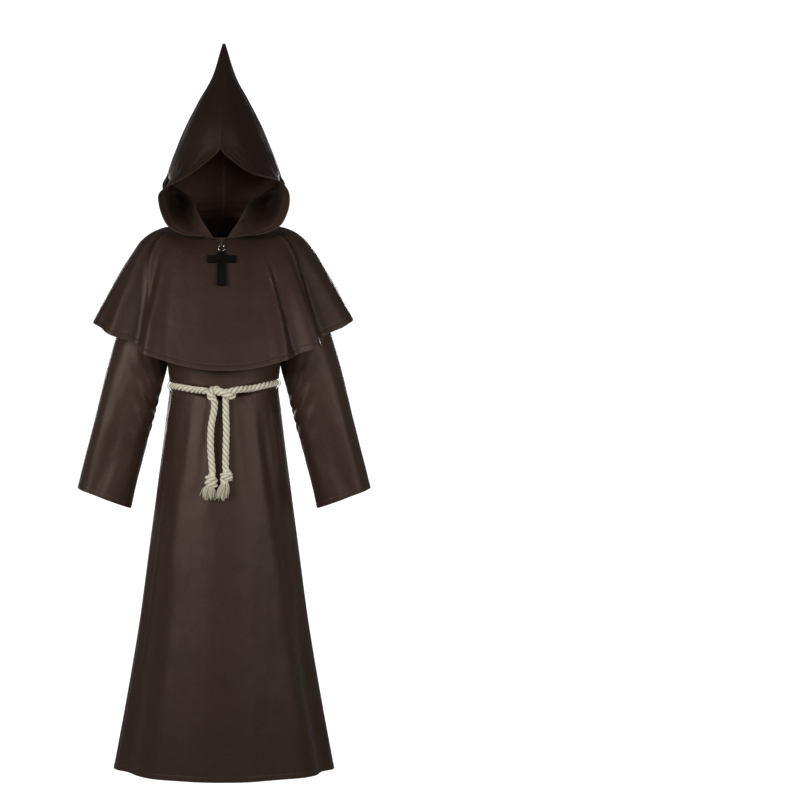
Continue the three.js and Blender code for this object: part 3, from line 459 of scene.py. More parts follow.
# The cape, t from 0 at the neckline to 1 at the hem
def cape_point(angle, t, strength):
    power = lerp(1, CAPE_POWER, smooth(t, 0, 0.3))
    across, ahead = ring_shares(angle, power, power)
    deep = np.where(ahead > 0, CAPE["front_y"](t), CAPE["back_y"](t))
    z = np.where(ahead > 0, CAPE["front_z"](t), CAPE["back_z"](t))
    to_side = lerp(1 - np.abs(ahead), across * across, smooth(t, 0, 0.3))
    folds = 0.0
    for hem, neck, wide, depth, start in CAPE_FOLDS:
        place = lerp(neck, hem, t**0.8)
        folds = folds + depth * bump(angle, place, wide) * smooth(t, start, 1.15) * 1.08
    radius = lerp(95, 262, t)
    along = turned(angle, 0) * radius * math.pi / 180
    small = creases(CAPE_CREASES, t, angle, radius)
    behind = smooth(np.abs(turned(angle, 0)), 100, 150)
    gathers = lerp(0.35, 1.3, behind) * noise(turned(angle, 0) / 4.6 + 30, t * 1.3, 61)
    gathers = gathers * np.exp(-((t / 0.3) ** 2))
    slack = 1.5 * ripples(along / 80 + 40, t * 3, 71) * smooth(t, 0.05, 0.5)
    wrinkle = 0.4 * ripples(along / 30 + 40, t * 11, 81)
    seam = 1 - smooth(np.abs(turned(angle, 0)), 168, 179.7)
    folds = folds + strength * (small + seam * (gathers + slack + wrinkle)) * smooth(t, 0, 0.05)
    tip = bump(angle, CAPE_TIP["angle"], CAPE_TIP["wide"]) * smooth(t, 0.4, 1)
    at = points(
        CAPE["side_x"](t) * across + folds * np.sin(np.radians(angle)) + CAPE_TIP["x"] * tip,
        -deep * ahead - folds * np.cos(np.radians(angle)),
        lerp(z, CAPE["side_z"](t), to_side) + CAPE_TIP["z"] * tip,
    )
    at[..., 0] += lean_at(at) * (1 - smooth(t, 0, 0.8))
    return at


# The hood
def hood_rib(row):
    """The places of one rib: on the neckline, in the table or on the cone."""
    if row == 0:
        return collar_point(np.array(RIB_COLLAR, float))
    if row in HOOD_RIBS:
        return np.array(HOOD_RIBS[row], float)
    wide, back, front, back_z, side_z, front_z = HOOD_CONES[row]
    sine, cosine = ring_shares(np.array(RIB_CONE, float), CONE_POWER, CONE_POWER)
    ahead = cosine > 0
    height = lerp(side_z, np.where(ahead, back_z, front_z), cosine**2)
    return points(wide * sine, np.where(ahead, back, front) * cosine, height)


def hood_points(columns, rows, side, strength):
    """The grid of one half of the hood, at all the rows and columns asked for."""
    knots = [0, *HOOD_RIBS, *HOOD_CONES]
    ribs = hermite(knots, [hood_rib(row) for row in knots], rows)
    at = hermite(RIB_COLUMNS, ribs.transpose(1, 0, 2), columns).transpose(1, 0, 2)
    collar = collar_point(hermite(RIB_COLUMNS, RIB_COLLAR, columns))
    seat = hermite(RIB_COLUMNS, collar_point(np.array(RIB_COLLAR, float)), columns)
    at += (collar - seat)[None] * (1 - smooth(rows, 0, 2))[:, None, None]
    row, column = np.meshgrid(rows, columns, indexing="ij")
    for dent_side, dent_column, dent_row, wide_column, wide_row, depth in HOOD_DENTS:
        if dent_side == side:
            off = np.hypot((column - dent_column) / wide_column, (row - dent_row) / wide_row)
            push = depth * np.cos(np.minimum(off, 1) * math.pi / 2) ** 2
            out = at[..., :2] / np.maximum(np.linalg.norm(at[..., :2], axis=-1, keepdims=True), 1)
            at[..., :2] += out * push[..., None]
    if side > 0:
        far = np.minimum(1, np.abs(row - BROW_LIFT["row"]) / BROW_LIFT["wide"])
        lift = (1 - smooth(far, 0, 1)) * smooth(column, BROW_LIFT["start"], HOOD_COLUMNS)
        at[..., 2] += BROW_LIFT["z"] * lift
    at += normals_of(at, -1) * hood_detail(column, row, side, strength)[..., None]
    at[..., 0] = np.maximum(at[..., 0], 0) * side
    lean = lean_at(at) * (1 - smooth(at[..., 2], LEAN["fade_start"], LEAN["fade_end"]))
    at[..., 0] += lean
    return at, lean


def hood_detail(column, row, side, strength):
    """Slack over the brow, slumps at the back of the neck, and puckers beside the seams."""
    seed = 91 if side > 0 else 97
    brow = np.exp(-(((row - 12.6) / 1.8) ** 2)) * np.exp(-(((column - 17.5) / 3.5) ** 2))
    neck = np.exp(-(((row - 2.2) / 2.0) ** 2)) * (1 - smooth(column, 8, 12))
    crumple = 2.2 * brow * ripples(column / 1.1 + row / 3, row / 1.3, seed)
    slump = 3.4 * neck * ripples(column / 2.6, row / 0.9 + column / 6, seed + 10)
    slack = 1.1 * ripples(column / 3.2, row / 3.4, seed + 20)
    held = smooth(column, 0, 0.8) * (1 - smooth(row, 20, 22)) * smooth(row, 0, 0.6)
    held = held * (1 - smooth(column, 20.5, 22) * smooth(row, 12.5, 14))
    back_seam = np.exp(-((column / 0.35) ** 2)) * 0.6 * noise(3, row * 4, 130) * smooth(row, 0, 0.6)
    return strength * (held * (crumple + slump + slack) + back_seam)


def belt_point(angle):
    z = belt_z(angle)
    ahead = body_point(angle + 1, z) - body_point(angle - 1, z)
    out = points(ahead[..., 1], -ahead[..., 0], 0)
    out /= np.linalg.norm(out, axis=-1, keepdims=True)
    return body_point(angle, z) + out * (ROPE / 2 + BELT["clear"])


# Meshes
def normals_of(grid, side=1, closed=False):
    """Outward normals of a grid whose columns run to the right and rows up, as seen from outside."""
    if closed:
        right = np.roll(grid, -1, axis=1) - np.roll(grid, 1, axis=1)
    else:
        right = np.gradient(grid, axis=1)
    up = np.gradient(grid, axis=0)
    normal = np.cross(right, up) * side
    return normal / np.maximum(np.linalg.norm(normal, axis=-1, keepdims=True), 1e-9)


def lengths(grid, closed=False):
    """A cloth coordinate in metres for each point: along its row from the middle, and up its column."""
    wrapped = np.concatenate([grid, grid[:, :1]], axis=1) if closed else grid
    steps = np.linalg.norm(np.diff(wrapped, axis=1), axis=-1)
    across = np.concatenate([np.zeros((len(grid), 1)), np.cumsum(steps, axis=1)], axis=1)
    across -= across[:, across.shape[1] // 2][:, None]
    rises = np.linalg.norm(np.diff(wrapped, axis=0), axis=-1)
    along = np.concatenate([np.zeros((1, wrapped.shape[1])), np.cumsum(rises, axis=0)])
    return np.stack([across, along], axis=-1) * MM


def mesh_object(name, vertices, faces, materials):
    mesh = bpy.data.meshes.new(name)
    mesh.from_pydata((np.asarray(vertices) * MM).tolist(), [], np.asarray(faces).tolist())
    for material in materials:
        mesh.materials.append(material)
    obj = bpy.data.objects.new(name, mesh)
    bpy.context.collection.objects.link(obj)
    return obj


def shell(name, grid, thickness, materials, closed=False, hold=None, thin=None, painted_light=0.0):
    """A thin closed wall on a grid of outer points.

    hold is 0 where the thickness ignores an axis; the last argument is above 0 where a highlight is painted
    lighter into the cloth and below 0 where shade is painted darker.
    """
    rows, columns = grid.shape[:2]
    normal = normals_of(grid, closed=closed)
    if hold is not None:
        normal = normal * hold
        normal /= np.maximum(np.linalg.norm(normal, axis=-1, keepdims=True), 1e-9)
    wall = thickness if thin is None else thickness * thin[..., None]
    inner = grid - normal * wall
    count = rows * columns
    start = np.arange(columns if closed else columns - 1)
    parts = []
    for ids, after, layer in (
        (np.arange(count).reshape(rows, columns), (start + 1) % columns, count),
        (np.arange(rows * (columns + closed)).reshape(rows, -1), start + 1, 0),
    ):
        outer = np.stack([ids[:-1][:, start], ids[:-1][:, after], ids[1:][:, after], ids[1:][:, start]], -1)
        outer = outer.reshape(-1, 4)
        bottom = [ids[0, start], ids[0, start] + layer, ids[0, after] + layer, ids[0, after]]
        top = [ids[-1, start], ids[-1, after], ids[-1, after] + layer, ids[-1, start] + layer]
        faces = [outer, outer[:, ::-1] + layer, np.stack(bottom, -1), np.stack(top, -1)]
        if not closed:
            left, right = ids[:, 0], ids[:, -1]
            faces.append(np.stack([left[:-1], left[1:], left[1:] + layer, left[:-1] + layer], -1))
            faces.append(np.stack([right[:-1], right[:-1] + layer, right[1:] + layer, right[1:]], -1))
        parts.append(faces)
    vertices = np.concatenate([grid.reshape(-1, 3), inner.reshape(-1, 3)])
    faces = np.concatenate(parts[0])
    obj = mesh_object(name, vertices, faces, materials)
    cloth = lengths(grid, closed).reshape(-1, 2)[np.concatenate(parts[1]).ravel()]
    obj.data.uv_layers.new(name="Cloth").data.foreach_set("uv", cloth.ravel())
    # Painted light: highlight and shade values kept on the mesh for the cloth's colour
    painted_light_values = np.tile(np.broadcast_to(painted_light, (rows, columns)).ravel(), 2)
    obj.data.attributes.new("painted_light", "FLOAT", "POINT").data.foreach_set("value", painted_light_values.astype(np.float32))
    side = np.zeros(len(faces), int)
    side[len(parts[0][0]):2 * len(parts[0][0])] = 1
    obj.data.polygons.foreach_set("material_index", side)
    obj.data.shade_smooth()
    obj.data.set_sharp_from_angle(angle=math.radians(50))
    return obj


def polylines(name, lines, values=()):
    """A mesh of bare edges, one chain for each line, for the node trees to build on."""
    mesh = bpy.data.meshes.new(name)
    vertices = np.concatenate(lines) * MM
    edges = []
    start = 0
    for line in lines:
        edges += [(start + i, start + i + 1) for i in range(len(line) - 1)]
        start += len(line)
    mesh.from_pydata(vertices.tolist(), edges, [])
    for label, data in values:
        mesh.attributes.new(label, "FLOAT", "POINT").data.foreach_set("value", np.asarray(data, np.float32))
    obj = bpy.data.objects.new(name, mesh)
    bpy.context.collection.objects.link(obj)
    return obj


def smooth_path(route, step):
    """Even points along a centripetal curve through a route."""
    route = [np.array(p, float) for p in route]
    route = [2 * route[0] - route[1], *route, 2 * route[-1] - route[-2]]
    dense = []
    for p0, p1, p2, p3 in zip(route, route[1:], route[2:], route[3:]):
        t0 = 0.0
        t1 = t0 + max(np.linalg.norm(p1 - p0), 1e-6) ** 0.5
        t2 = t1 + max(np.linalg.norm(p2 - p1), 1e-6) ** 0.5
        t3 = t2 + max(np.linalg.norm(p3 - p2), 1e-6) ** 0.5
        for t in np.linspace(t1, t2, 13)[:-1]:
            a1 = (t1 - t) / (t1 - t0) * p0 + (t - t0) / (t1 - t0) * p1
            a2 = (t2 - t) / (t2 - t1) * p1 + (t - t1) / (t2 - t1) * p2
            a3 = (t3 - t) / (t3 - t2) * p2 + (t - t2) / (t3 - t2) * p3
            b1 = (t2 - t) / (t2 - t0) * a1 + (t - t0) / (t2 - t0) * a2
            b2 = (t3 - t) / (t3 - t1) * a2 + (t - t1) / (t3 - t1) * a3
            dense.append((t2 - t) / (t2 - t1) * b1 + (t - t1) / (t2 - t1) * b2)
    dense.append(route[-2])
    dense = np.array(dense)
    reach = np.concatenate([[0], np.cumsum(np.linalg.norm(np.diff(dense, axis=0), axis=1))])
    at = np.linspace(0, reach[-1], max(2, round(reach[-1] / step)) + 1)
    return np.stack([np.interp(at, reach, dense[:, k]) for k in range(3)], axis=-1)


# Node trees
def add_node(tree, kind, inputs=(), **settings):
    node = tree.nodes.new(kind)
    for key, value in settings.items():
        setattr(node, key, value)
    for key, value in dict(inputs).items():
        if isinstance(value, bpy.types.NodeSocket):
            tree.links.new(value, node.inputs[key])
        else:
            node.inputs[key].default_value = value
    return node


def maths(tree, operation, *values):
    """A Math node's result, from numbers and sockets."""
    return add_node(tree, "ShaderNodeMath", enumerate(values), operation=operation).outputs[0]


def vector_maths(tree, operation, first, second=None, scale=None):
    node = tree.nodes.new("ShaderNodeVectorMath")
    node.operation = operation
    tree.links.new(first, node.inputs[0])
    if second is not None:
        tree.links.new(second, node.inputs[1])
    if scale is not None:
        tree.links.new(scale, node.inputs["Scale"])
    return node.outputs[0]


def new_tree(name, sockets):
    """A node tree with a geometry input and output, and named inputs for its sizes."""
    tree = bpy.data.node_groups.new(name, "GeometryNodeTree")
    tree.interface.new_socket("Geometry", in_out="INPUT", socket_type="NodeSocketGeometry")
    tree.interface.new_socket("Geometry", in_out="OUTPUT", socket_type="NodeSocketGeometry")
    for label, kind in sockets:
        tree.interface.new_socket(label, in_out="INPUT", socket_type=kind)
    source = tree.nodes.new("NodeGroupInput")
    return tree, source.outputs


def close_tree(tree, geometry, material):
    """Ends a tree in Realize Instances and Set Material."""
    smoothed = add_node(tree, "GeometryNodeSetShadeSmooth", {"Geometry": geometry})
    whole = add_node(tree, "GeometryNodeRealizeInstances", {"Geometry": smoothed.outputs[0]})
    finished = add_node(tree, "GeometryNodeSetMaterial", {"Geometry": whole.outputs[0], "Material": material})
    tree.links.new(finished.outputs[0], tree.nodes.new("NodeGroupOutput").inputs[0])
    return tree


def stitch_tree():
    """Short threads laid end to end along each line."""
    tree, given = new_tree("Stitches on a line", [
        ("Pitch", "NodeSocketFloat"), ("Length", "NodeSocketFloat"), ("Thread", "NodeSocketFloat"),
        ("Material", "NodeSocketMaterial"),
    ])
    line = add_node(tree, "GeometryNodeMeshToCurve", {"Mesh": given["Geometry"]})
    spaced = add_node(
        tree, "GeometryNodeResampleCurve", {"Curve": line.outputs[0], "Length": given["Pitch"]},
        mode="LENGTH",
    )
    bead = add_node(tree, "GeometryNodeMeshUVSphere", {"Segments": 6, "Rings": 4, "Radius": 1.0})
    size = add_node(tree, "ShaderNodeCombineXYZ", {
        "X": maths(tree, "MULTIPLY", given["Thread"], 0.5),
        "Y": maths(tree, "MULTIPLY", given["Thread"], 0.5),
        "Z": maths(tree, "MULTIPLY", given["Length"], 0.5),
    })
    tangent = tree.nodes.new("GeometryNodeInputTangent")
    aim = add_node(tree, "FunctionNodeAlignRotationToVector", {"Vector": tangent.outputs[0]}, axis="Z")
    placed = add_node(tree, "GeometryNodeInstanceOnPoints", {
        "Points": spaced.outputs[0], "Instance": bead.outputs[0], "Rotation": aim.outputs[0],
        "Scale": size.outputs[0],
    })
    return close_tree(tree, placed.outputs[0], given["Material"])


def rope_tree():
    """Strands laid round each line, each a bundle of yarns twisted the other way."""
    tree, given = new_tree("Laid rope", [
        ("Diameter", "NodeSocketFloat"), ("Strands", "NodeSocketInt"), ("Lay", "NodeSocketFloat"),
        ("Yarns", "NodeSocketInt"), ("Yarn Depth", "NodeSocketFloat"), ("Yarn Lay", "NodeSocketFloat"),
        ("Step", "NodeSocketFloat"), ("Sides", "NodeSocketInt"), ("Material", "NodeSocketMaterial"),
    ])
    line = add_node(tree, "GeometryNodeMeshToCurve", {"Mesh": given["Geometry"]})
    spaced = add_node(
        tree, "GeometryNodeResampleCurve", {"Curve": line.outputs[0], "Length": given["Step"]}, mode="LENGTH",
    )
    reach = tree.nodes.new("GeometryNodeSplineParameter")
    marked = add_node(
        tree, "GeometryNodeStoreNamedAttribute",
        {"Geometry": spaced.outputs[0], "Name": "along", "Value": reach.outputs["Length"]},
        data_type="FLOAT", domain="POINT",
    )
    copies = add_node(
        tree, "GeometryNodeDuplicateElements",
        {"Geometry": marked.outputs[0], "Amount": given["Strands"]}, domain="SPLINE",
    )
    # Each strand winds round the line, close enough to press into the others
    share = maths(tree, "DIVIDE", copies.outputs["Duplicate Index"], given["Strands"])
    turns = maths(tree, "ADD", maths(tree, "DIVIDE", reach.outputs["Length"], given["Lay"]), share)
    angle = maths(tree, "MULTIPLY", turns, -2 * math.pi)
    winding = maths(tree, "MULTIPLY", given["Diameter"], 0.24)
    strand = maths(tree, "MULTIPLY", given["Diameter"], 0.27)
    spoke = add_node(tree, "ShaderNodeVectorRotate", {
        "Vector": tree.nodes.new("GeometryNodeInputNormal").outputs[0],
        "Axis": tree.nodes.new("GeometryNodeInputTangent").outputs[0],
        "Angle": angle,
    }, rotation_type="AXIS_ANGLE")
    offset = vector_maths(tree, "SCALE", spoke.outputs[0], scale=winding)
    wound = add_node(
        tree, "GeometryNodeSetPosition", {"Geometry": copies.outputs["Geometry"], "Offset": offset},
    )
    own = tree.nodes.new("GeometryNodeSplineParameter")
    twist = maths(
        tree, "MULTIPLY", maths(tree, "DIVIDE", own.outputs["Length"], given["Yarn Lay"]), 2 * math.pi,
    )
    tilted = add_node(tree, "GeometryNodeSetCurveTilt", {"Curve": wound.outputs[0], "Tilt": twist})
    # The section of a strand, with a rounded lobe for each yarn
    circle = add_node(
        tree, "GeometryNodeCurvePrimitiveCircle", {"Resolution": given["Sides"], "Radius": strand},
    )
    around = tree.nodes.new("GeometryNodeSplineParameter")
    lobes = maths(
        tree, "MULTIPLY", around.outputs["Factor"], maths(tree, "MULTIPLY", given["Yarns"], math.pi),
    )
    lobe = maths(tree, "ABSOLUTE", maths(tree, "SINE", lobes))
    drop = maths(tree, "MULTIPLY", maths(tree, "SUBTRACT", lobe, 1.0), given["Yarn Depth"])
    section = add_node(tree, "GeometryNodeSetPosition", {
        "Geometry": circle.outputs[0],
        "Offset": vector_maths(
            tree, "SCALE", tree.nodes.new("GeometryNodeInputPosition").outputs[0], scale=drop,
        ),
    })
    swept = add_node(tree, "GeometryNodeCurveToMesh", {
        "Curve": tilted.outputs[0], "Profile Curve": section.outputs[0], "Fill Caps": True,
    })
    # How far out each point lies, for the painted shade in the grooves between the strands
    core = add_node(tree, "GeometryNodeProximity", {"Target": given["Geometry"]}, target_element="EDGES")
    share = maths(tree, "DIVIDE", core.outputs["Distance"], given["Diameter"])
    grooved = add_node(
        tree, "GeometryNodeStoreNamedAttribute",
        {"Geometry": swept.outputs[0], "Name": "outer", "Value": share}, data_type="FLOAT", domain="POINT",
    )
    return close_tree(tree, grooved.outputs[0], given["Material"])


def yarn_tree():
    """A thin tapering yarn along each line."""
    tree, given = new_tree("Loose yarns", [
        ("Thickness", "NodeSocketFloat"), ("Step", "NodeSocketFloat"), ("Sides", "NodeSocketInt"),
        ("Material", "NodeSocketMaterial"),
    ])
    line = add_node(tree, "GeometryNodeMeshToCurve", {"Mesh": given["Geometry"]})
    spaced = add_node(
        tree, "GeometryNodeResampleCurve", {"Curve": line.outputs[0], "Length": given["Step"]}, mode="LENGTH",
    )
    along = tree.nodes.new("GeometryNodeSplineParameter")
    taper = add_node(tree, "ShaderNodeMapRange", {
        "Value": along.outputs["Factor"], "From Min": 0.6, "From Max": 1.0, "To Min": 1.0, "To Max": 0.35,
    })
    half = maths(tree, "MULTIPLY", maths(tree, "MULTIPLY", taper.outputs[0], given["Thickness"]), 0.5)
    sized = add_node(tree, "GeometryNodeSetCurveRadius", {"Curve": spaced.outputs[0], "Radius": half})
    # The loose yarns get a fixed value of the rope's painted groove shade, a little darker than its crowns
    marked = add_node(
        tree, "GeometryNodeStoreNamedAttribute",
        {"Geometry": sized.outputs[0], "Name": "outer", "Value": 0.44}, data_type="FLOAT", domain="POINT",
    )
    circle = add_node(tree, "GeometryNodeCurvePrimitiveCircle", {"Resolution": given["Sides"], "Radius": 1.0})
    swept = add_node(tree, "GeometryNodeCurveToMesh", {
        "Curve": marked.outputs[0], "Profile Curve": circle.outputs[0], "Fill Caps": True,
    })
    if "Scale" in swept.inputs:
        tree.links.new(tree.nodes.new("GeometryNodeInputRadius").outputs[0], swept.inputs["Scale"])
    return close_tree(tree, swept.outputs[0], given["Material"])


def grown(obj, tree, **sizes):
    """Runs a node tree on an object and keeps the result as its plain mesh."""
    modifier = obj.modifiers.new(tree.name, "NODES")
    modifier.node_group = tree
    named = {item.name: item.identifier for item in tree.interface.items_tree if item.in_out == "INPUT"}
    for label, value in sizes.items():
        modifier[named[label.replace("_", " ")]] = value
    graph = bpy.context.evaluated_depsgraph_get()
    graph.update()
    mesh = bpy.data.meshes.new_from_object(obj.evaluated_get(graph))
    obj.modifiers.remove(modifier)
    obj.data = mesh
    return obj


def finish_piece(obj, body, slot, *nodes):
    """Puts a finished piece on its body and hides what it stands for; slot is not used."""
    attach(obj, body)
    if nodes:
        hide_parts(*nodes)
    return obj


# Finishes
def new_material(name):
    """An empty material and its shader."""
    material = bpy.data.materials.get(name) or bpy.data.materials.new(name)
    material.use_nodes = True
    tree = material.node_tree
    tree.nodes.clear()
    shader = tree.nodes.new("ShaderNodeBsdfPrincipled")
    output = tree.nodes.new("ShaderNodeOutputMaterial")
    tree.links.new(shader.outputs[0], output.inputs[0])
    return material, tree, shader


def spread(tree, value, low, high):
    """A 0 to 1 value, spread from low to high."""
    return add_node(tree, "ShaderNodeMapRange", {"Value": value, "To Min": low, "To Max": high}).outputs[0]


def cloth_material(name, color, roughness, sheen, pitch=0.0006, deep=1.0, gloss=0.3):
    """Dark polyester: a fine warp-faced weave, thread streaks, soft mottling, a dull shine, and painted
    highlight and painted shade.
    """
    material, tree, shader = new_material(name)
    cloth = add_node(tree, "ShaderNodeUVMap", uv_map="Cloth").outputs[0]
    split = add_node(tree, "ShaderNodeSeparateXYZ", {0: cloth}).outputs
    warp = maths(tree, "SINE", maths(tree, "MULTIPLY", split[0], 2 * math.pi / pitch))
    slant = maths(tree, "ADD", split[1], maths(tree, "MULTIPLY", split[0], 0.4))
    weft = maths(tree, "SINE", maths(tree, "MULTIPLY", slant, 2 * math.pi / (pitch * 1.7)))
    weave = maths(tree, "ADD", maths(tree, "MULTIPLY", warp, 0.6), maths(tree, "MULTIPLY", weft, 0.4))
    place = tree.nodes.new("ShaderNodeTexCoord").outputs["Object"]
    stretched = add_node(tree, "ShaderNodeMapping", {"Vector": cloth, "Scale": (900.0, 26.0, 1.0)}).outputs[0]
    streaks = add_node(tree, "ShaderNodeTexNoise", {"Vector": stretched, "Scale": 1.0, "Detail": 2.0})
    mottle = add_node(tree, "ShaderNodeTexNoise", {"Vector": place, "Scale": 9.0, "Detail": 3.0})
    rumple = add_node(tree, "ShaderNodeTexNoise", {"Vector": place, "Scale": 55.0, "Detail": 4.0})
    shade = maths(
        tree, "MULTIPLY",
        spread(tree, mottle.outputs["Fac"], 0.82, 1.18),
        spread(tree, streaks.outputs["Fac"], 0.9, 1.1),
    )
    grain = add_node(tree, "ShaderNodeTexNoise", {"Vector": place, "Scale": 330.0, "Detail": 2.0})
    shade = maths(tree, "MULTIPLY", shade, spread(tree, grain.outputs["Fac"], 0.62, 1.38))
    # Painted highlight and painted shade from the mesh: lighter on hems, seams and crease crests, darker in
    # crease valleys
    painted_light = add_node(tree, "ShaderNodeAttribute", attribute_name="painted_light").outputs["Fac"]
    shade = maths(tree, "MULTIPLY", shade, maths(tree, "ADD", 1.0, maths(tree, "MULTIPLY", painted_light, 1.6)))
    if deep > 1:
        # Painted shade and painted light: the fold behind the rolled edge is painted darkest, and painted
        # bounce light makes the far wall paler
        axes = add_node(tree, "ShaderNodeSeparateXYZ", {0: place}).outputs
        fold = add_node(tree, "ShaderNodeMapRange", {
            "Value": axes[1], "From Min": -0.08, "From Max": -0.045, "To Min": 1.1, "To Max": 0.3,
        }).outputs[0]
        far = add_node(tree, "ShaderNodeMapRange", {
            "Value": axes[1], "From Min": 0.04, "From Max": 0.11, "To Min": 0.0, "To Max": deep,
        }).outputs[0]
        high = add_node(tree, "ShaderNodeMapRange", {
            "Value": axes[2], "From Min": 0.05, "From Max": 0.13, "To Min": 0.2, "To Max": 1.0,
        }).outputs[0]
        shade = maths(tree, "MULTIPLY", shade, maths(tree, "ADD", fold, maths(tree, "MULTIPLY", far, high)))
    tint = add_node(tree, "ShaderNodeVectorMath", {0: color, "Scale": shade}, operation="SCALE")
    tree.links.new(tint.outputs[0], shader.inputs["Base Color"])
    tree.links.new(
        spread(tree, mottle.outputs["Fac"], roughness - 0.05, roughness + 0.05), shader.inputs["Roughness"],
    )
    fine = add_node(tree, "ShaderNodeBump", {"Height": weave, "Strength": 0.25, "Distance": 0.00006})
    soft = add_node(tree, "ShaderNodeBump", {
        "Height": rumple.outputs["Fac"], "Strength": 0.35, "Distance": 0.0011, "Normal": fine.outputs[0],
    })
    tree.links.new(soft.outputs[0], shader.inputs["Normal"])
    shader.inputs["Sheen Weight"].default_value = sheen
    shader.inputs["Sheen Roughness"].default_value = 0.35
    shader.inputs["Sheen Tint"].default_value = (1.0, 0.86, 0.78, 1)
    shader.inputs["Specular IOR Level"].default_value = gloss
    shader.inputs["Specular Tint"].default_value = (1.0, 0.8, 0.68, 1)
    return material


def rope_material(name, color):
    """Cotton: pale yarns with painted shade in the grooves between them, and short fibres."""
    material, tree, shader = new_material(name)
    # Painted shade: darker the nearer a point lies to the rope's core, in the grooves between strands
    outer = add_node(tree, "ShaderNodeAttribute", attribute_name="outer").outputs["Fac"]
    groove = add_node(tree, "ShaderNodeMapRange", {
        "Value": outer, "From Min": 0.3, "From Max": 0.46, "To Min": 0.3, "To Max": 1.0,
    }).outputs[0]
    place = tree.nodes.new("ShaderNodeTexCoord").outputs["Object"]
    fibres = add_node(tree, "ShaderNodeTexNoise", {"Vector": place, "Scale": 900.0, "Detail": 3.0})
    patches = add_node(tree, "ShaderNodeTexNoise", {"Vector": place, "Scale": 60.0, "Detail": 2.0})
    shade = maths(
        tree, "MULTIPLY",
        groove,
        spread(tree, patches.outputs["Fac"], 0.88, 1.08),
    )
    tint = add_node(tree, "ShaderNodeVectorMath", {0: color, "Scale": shade}, operation="SCALE")
    tree.links.new(tint.outputs[0], shader.inputs["Base Color"])
    rough = add_node(tree, "ShaderNodeBump", {
        "Height": fibres.outputs["Fac"], "Strength": 0.5, "Distance": 0.0003,
    })
    tree.links.new(rough.outputs[0], shader.inputs["Normal"])
    tree.links.new(spread(tree, fibres.outputs["Fac"], 0.8, 0.95), shader.inputs["Roughness"])
    shader.inputs["Sheen Weight"].default_value = 0.3
    shader.inputs["Sheen Roughness"].default_value = 0.6
    return material


def thread_material(name, color):
    """Sewing thread with a fine twist."""
    material, tree, shader = new_material(name)
    place = tree.nodes.new("ShaderNodeTexCoord").outputs["Object"]
    twist = add_node(tree, "ShaderNodeTexNoise", {"Vector": place, "Scale": 1400.0, "Detail": 1.0})
    tint = add_node(
        tree, "ShaderNodeVectorMath",
        {0: color, "Scale": spread(tree, twist.outputs["Fac"], 0.75, 1.25)}, operation="SCALE",
    )
    tree.links.new(tint.outputs[0], shader.inputs["Base Color"])
    tree.links.new(spread(tree, twist.outputs["Fac"], 0.45, 0.6), shader.inputs["Roughness"])
    return material


def metal_material(name, color):
    """Polished wire with faint drawing marks."""
    material, tree, shader = new_material(name)
    place = tree.nodes.new("ShaderNodeTexCoord").outputs["Object"]
    marks = add_node(tree, "ShaderNodeTexNoise", {"Vector": place, "Scale": 700.0, "Detail": 2.0})
    tree.links.new(spread(tree, marks.outputs["Fac"], 0.12, 0.28), shader.inputs["Roughness"])
    shader.inputs["Base Color"].default_value = (*color, 1)
    shader.inputs["Metallic"].default_value = 1.0
    return material


def black_material(name, color):
    """Black-stained wood: long fine grain and a soft gloss."""
    material, tree, shader = new_material(name)
    place = tree.nodes.new("ShaderNodeTexCoord").outputs["Object"]
    stretched = add_node(
        tree, "ShaderNodeMapping", {"Vector": place, "Scale": (900.0, 900.0, 60.0)},
    ).outputs[0]
    grain = add_node(tree, "ShaderNodeTexNoise", {"Vector": stretched, "Scale": 1.0, "Detail": 4.0})
    tint = add_node(
        tree, "ShaderNodeVectorMath",
        {0: color, "Scale": spread(tree, grain.outputs["Fac"], 0.6, 1.5)}, operation="SCALE",
    )
    tree.links.new(tint.outputs[0], shader.inputs["Base Color"])
    tree.links.new(spread(tree, grain.outputs["Fac"], 0.42, 0.6), shader.inputs["Roughness"])
    shader.inputs["Specular IOR Level"].default_value = 0.08
    lines = add_node(
        tree, "ShaderNodeBump", {"Height": grain.outputs["Fac"], "Strength": 0.3, "Distance": 0.0002},
    )
    tree.links.new(lines.outputs[0], shader.inputs["Normal"])
    return material


def backdrop_material(name):
    """Plain white paper."""
    material, _, shader = new_material(name)
    shader.inputs["Base Color"].default_value = (0.25, 0.25, 0.25, 1)
    shader.inputs["Roughness"].default_value = 0.9
    shader.inputs["Emission Color"].default_value = (1, 1, 1, 1)
    shader.inputs["Emission Strength"].default_value = 0.96
    return material


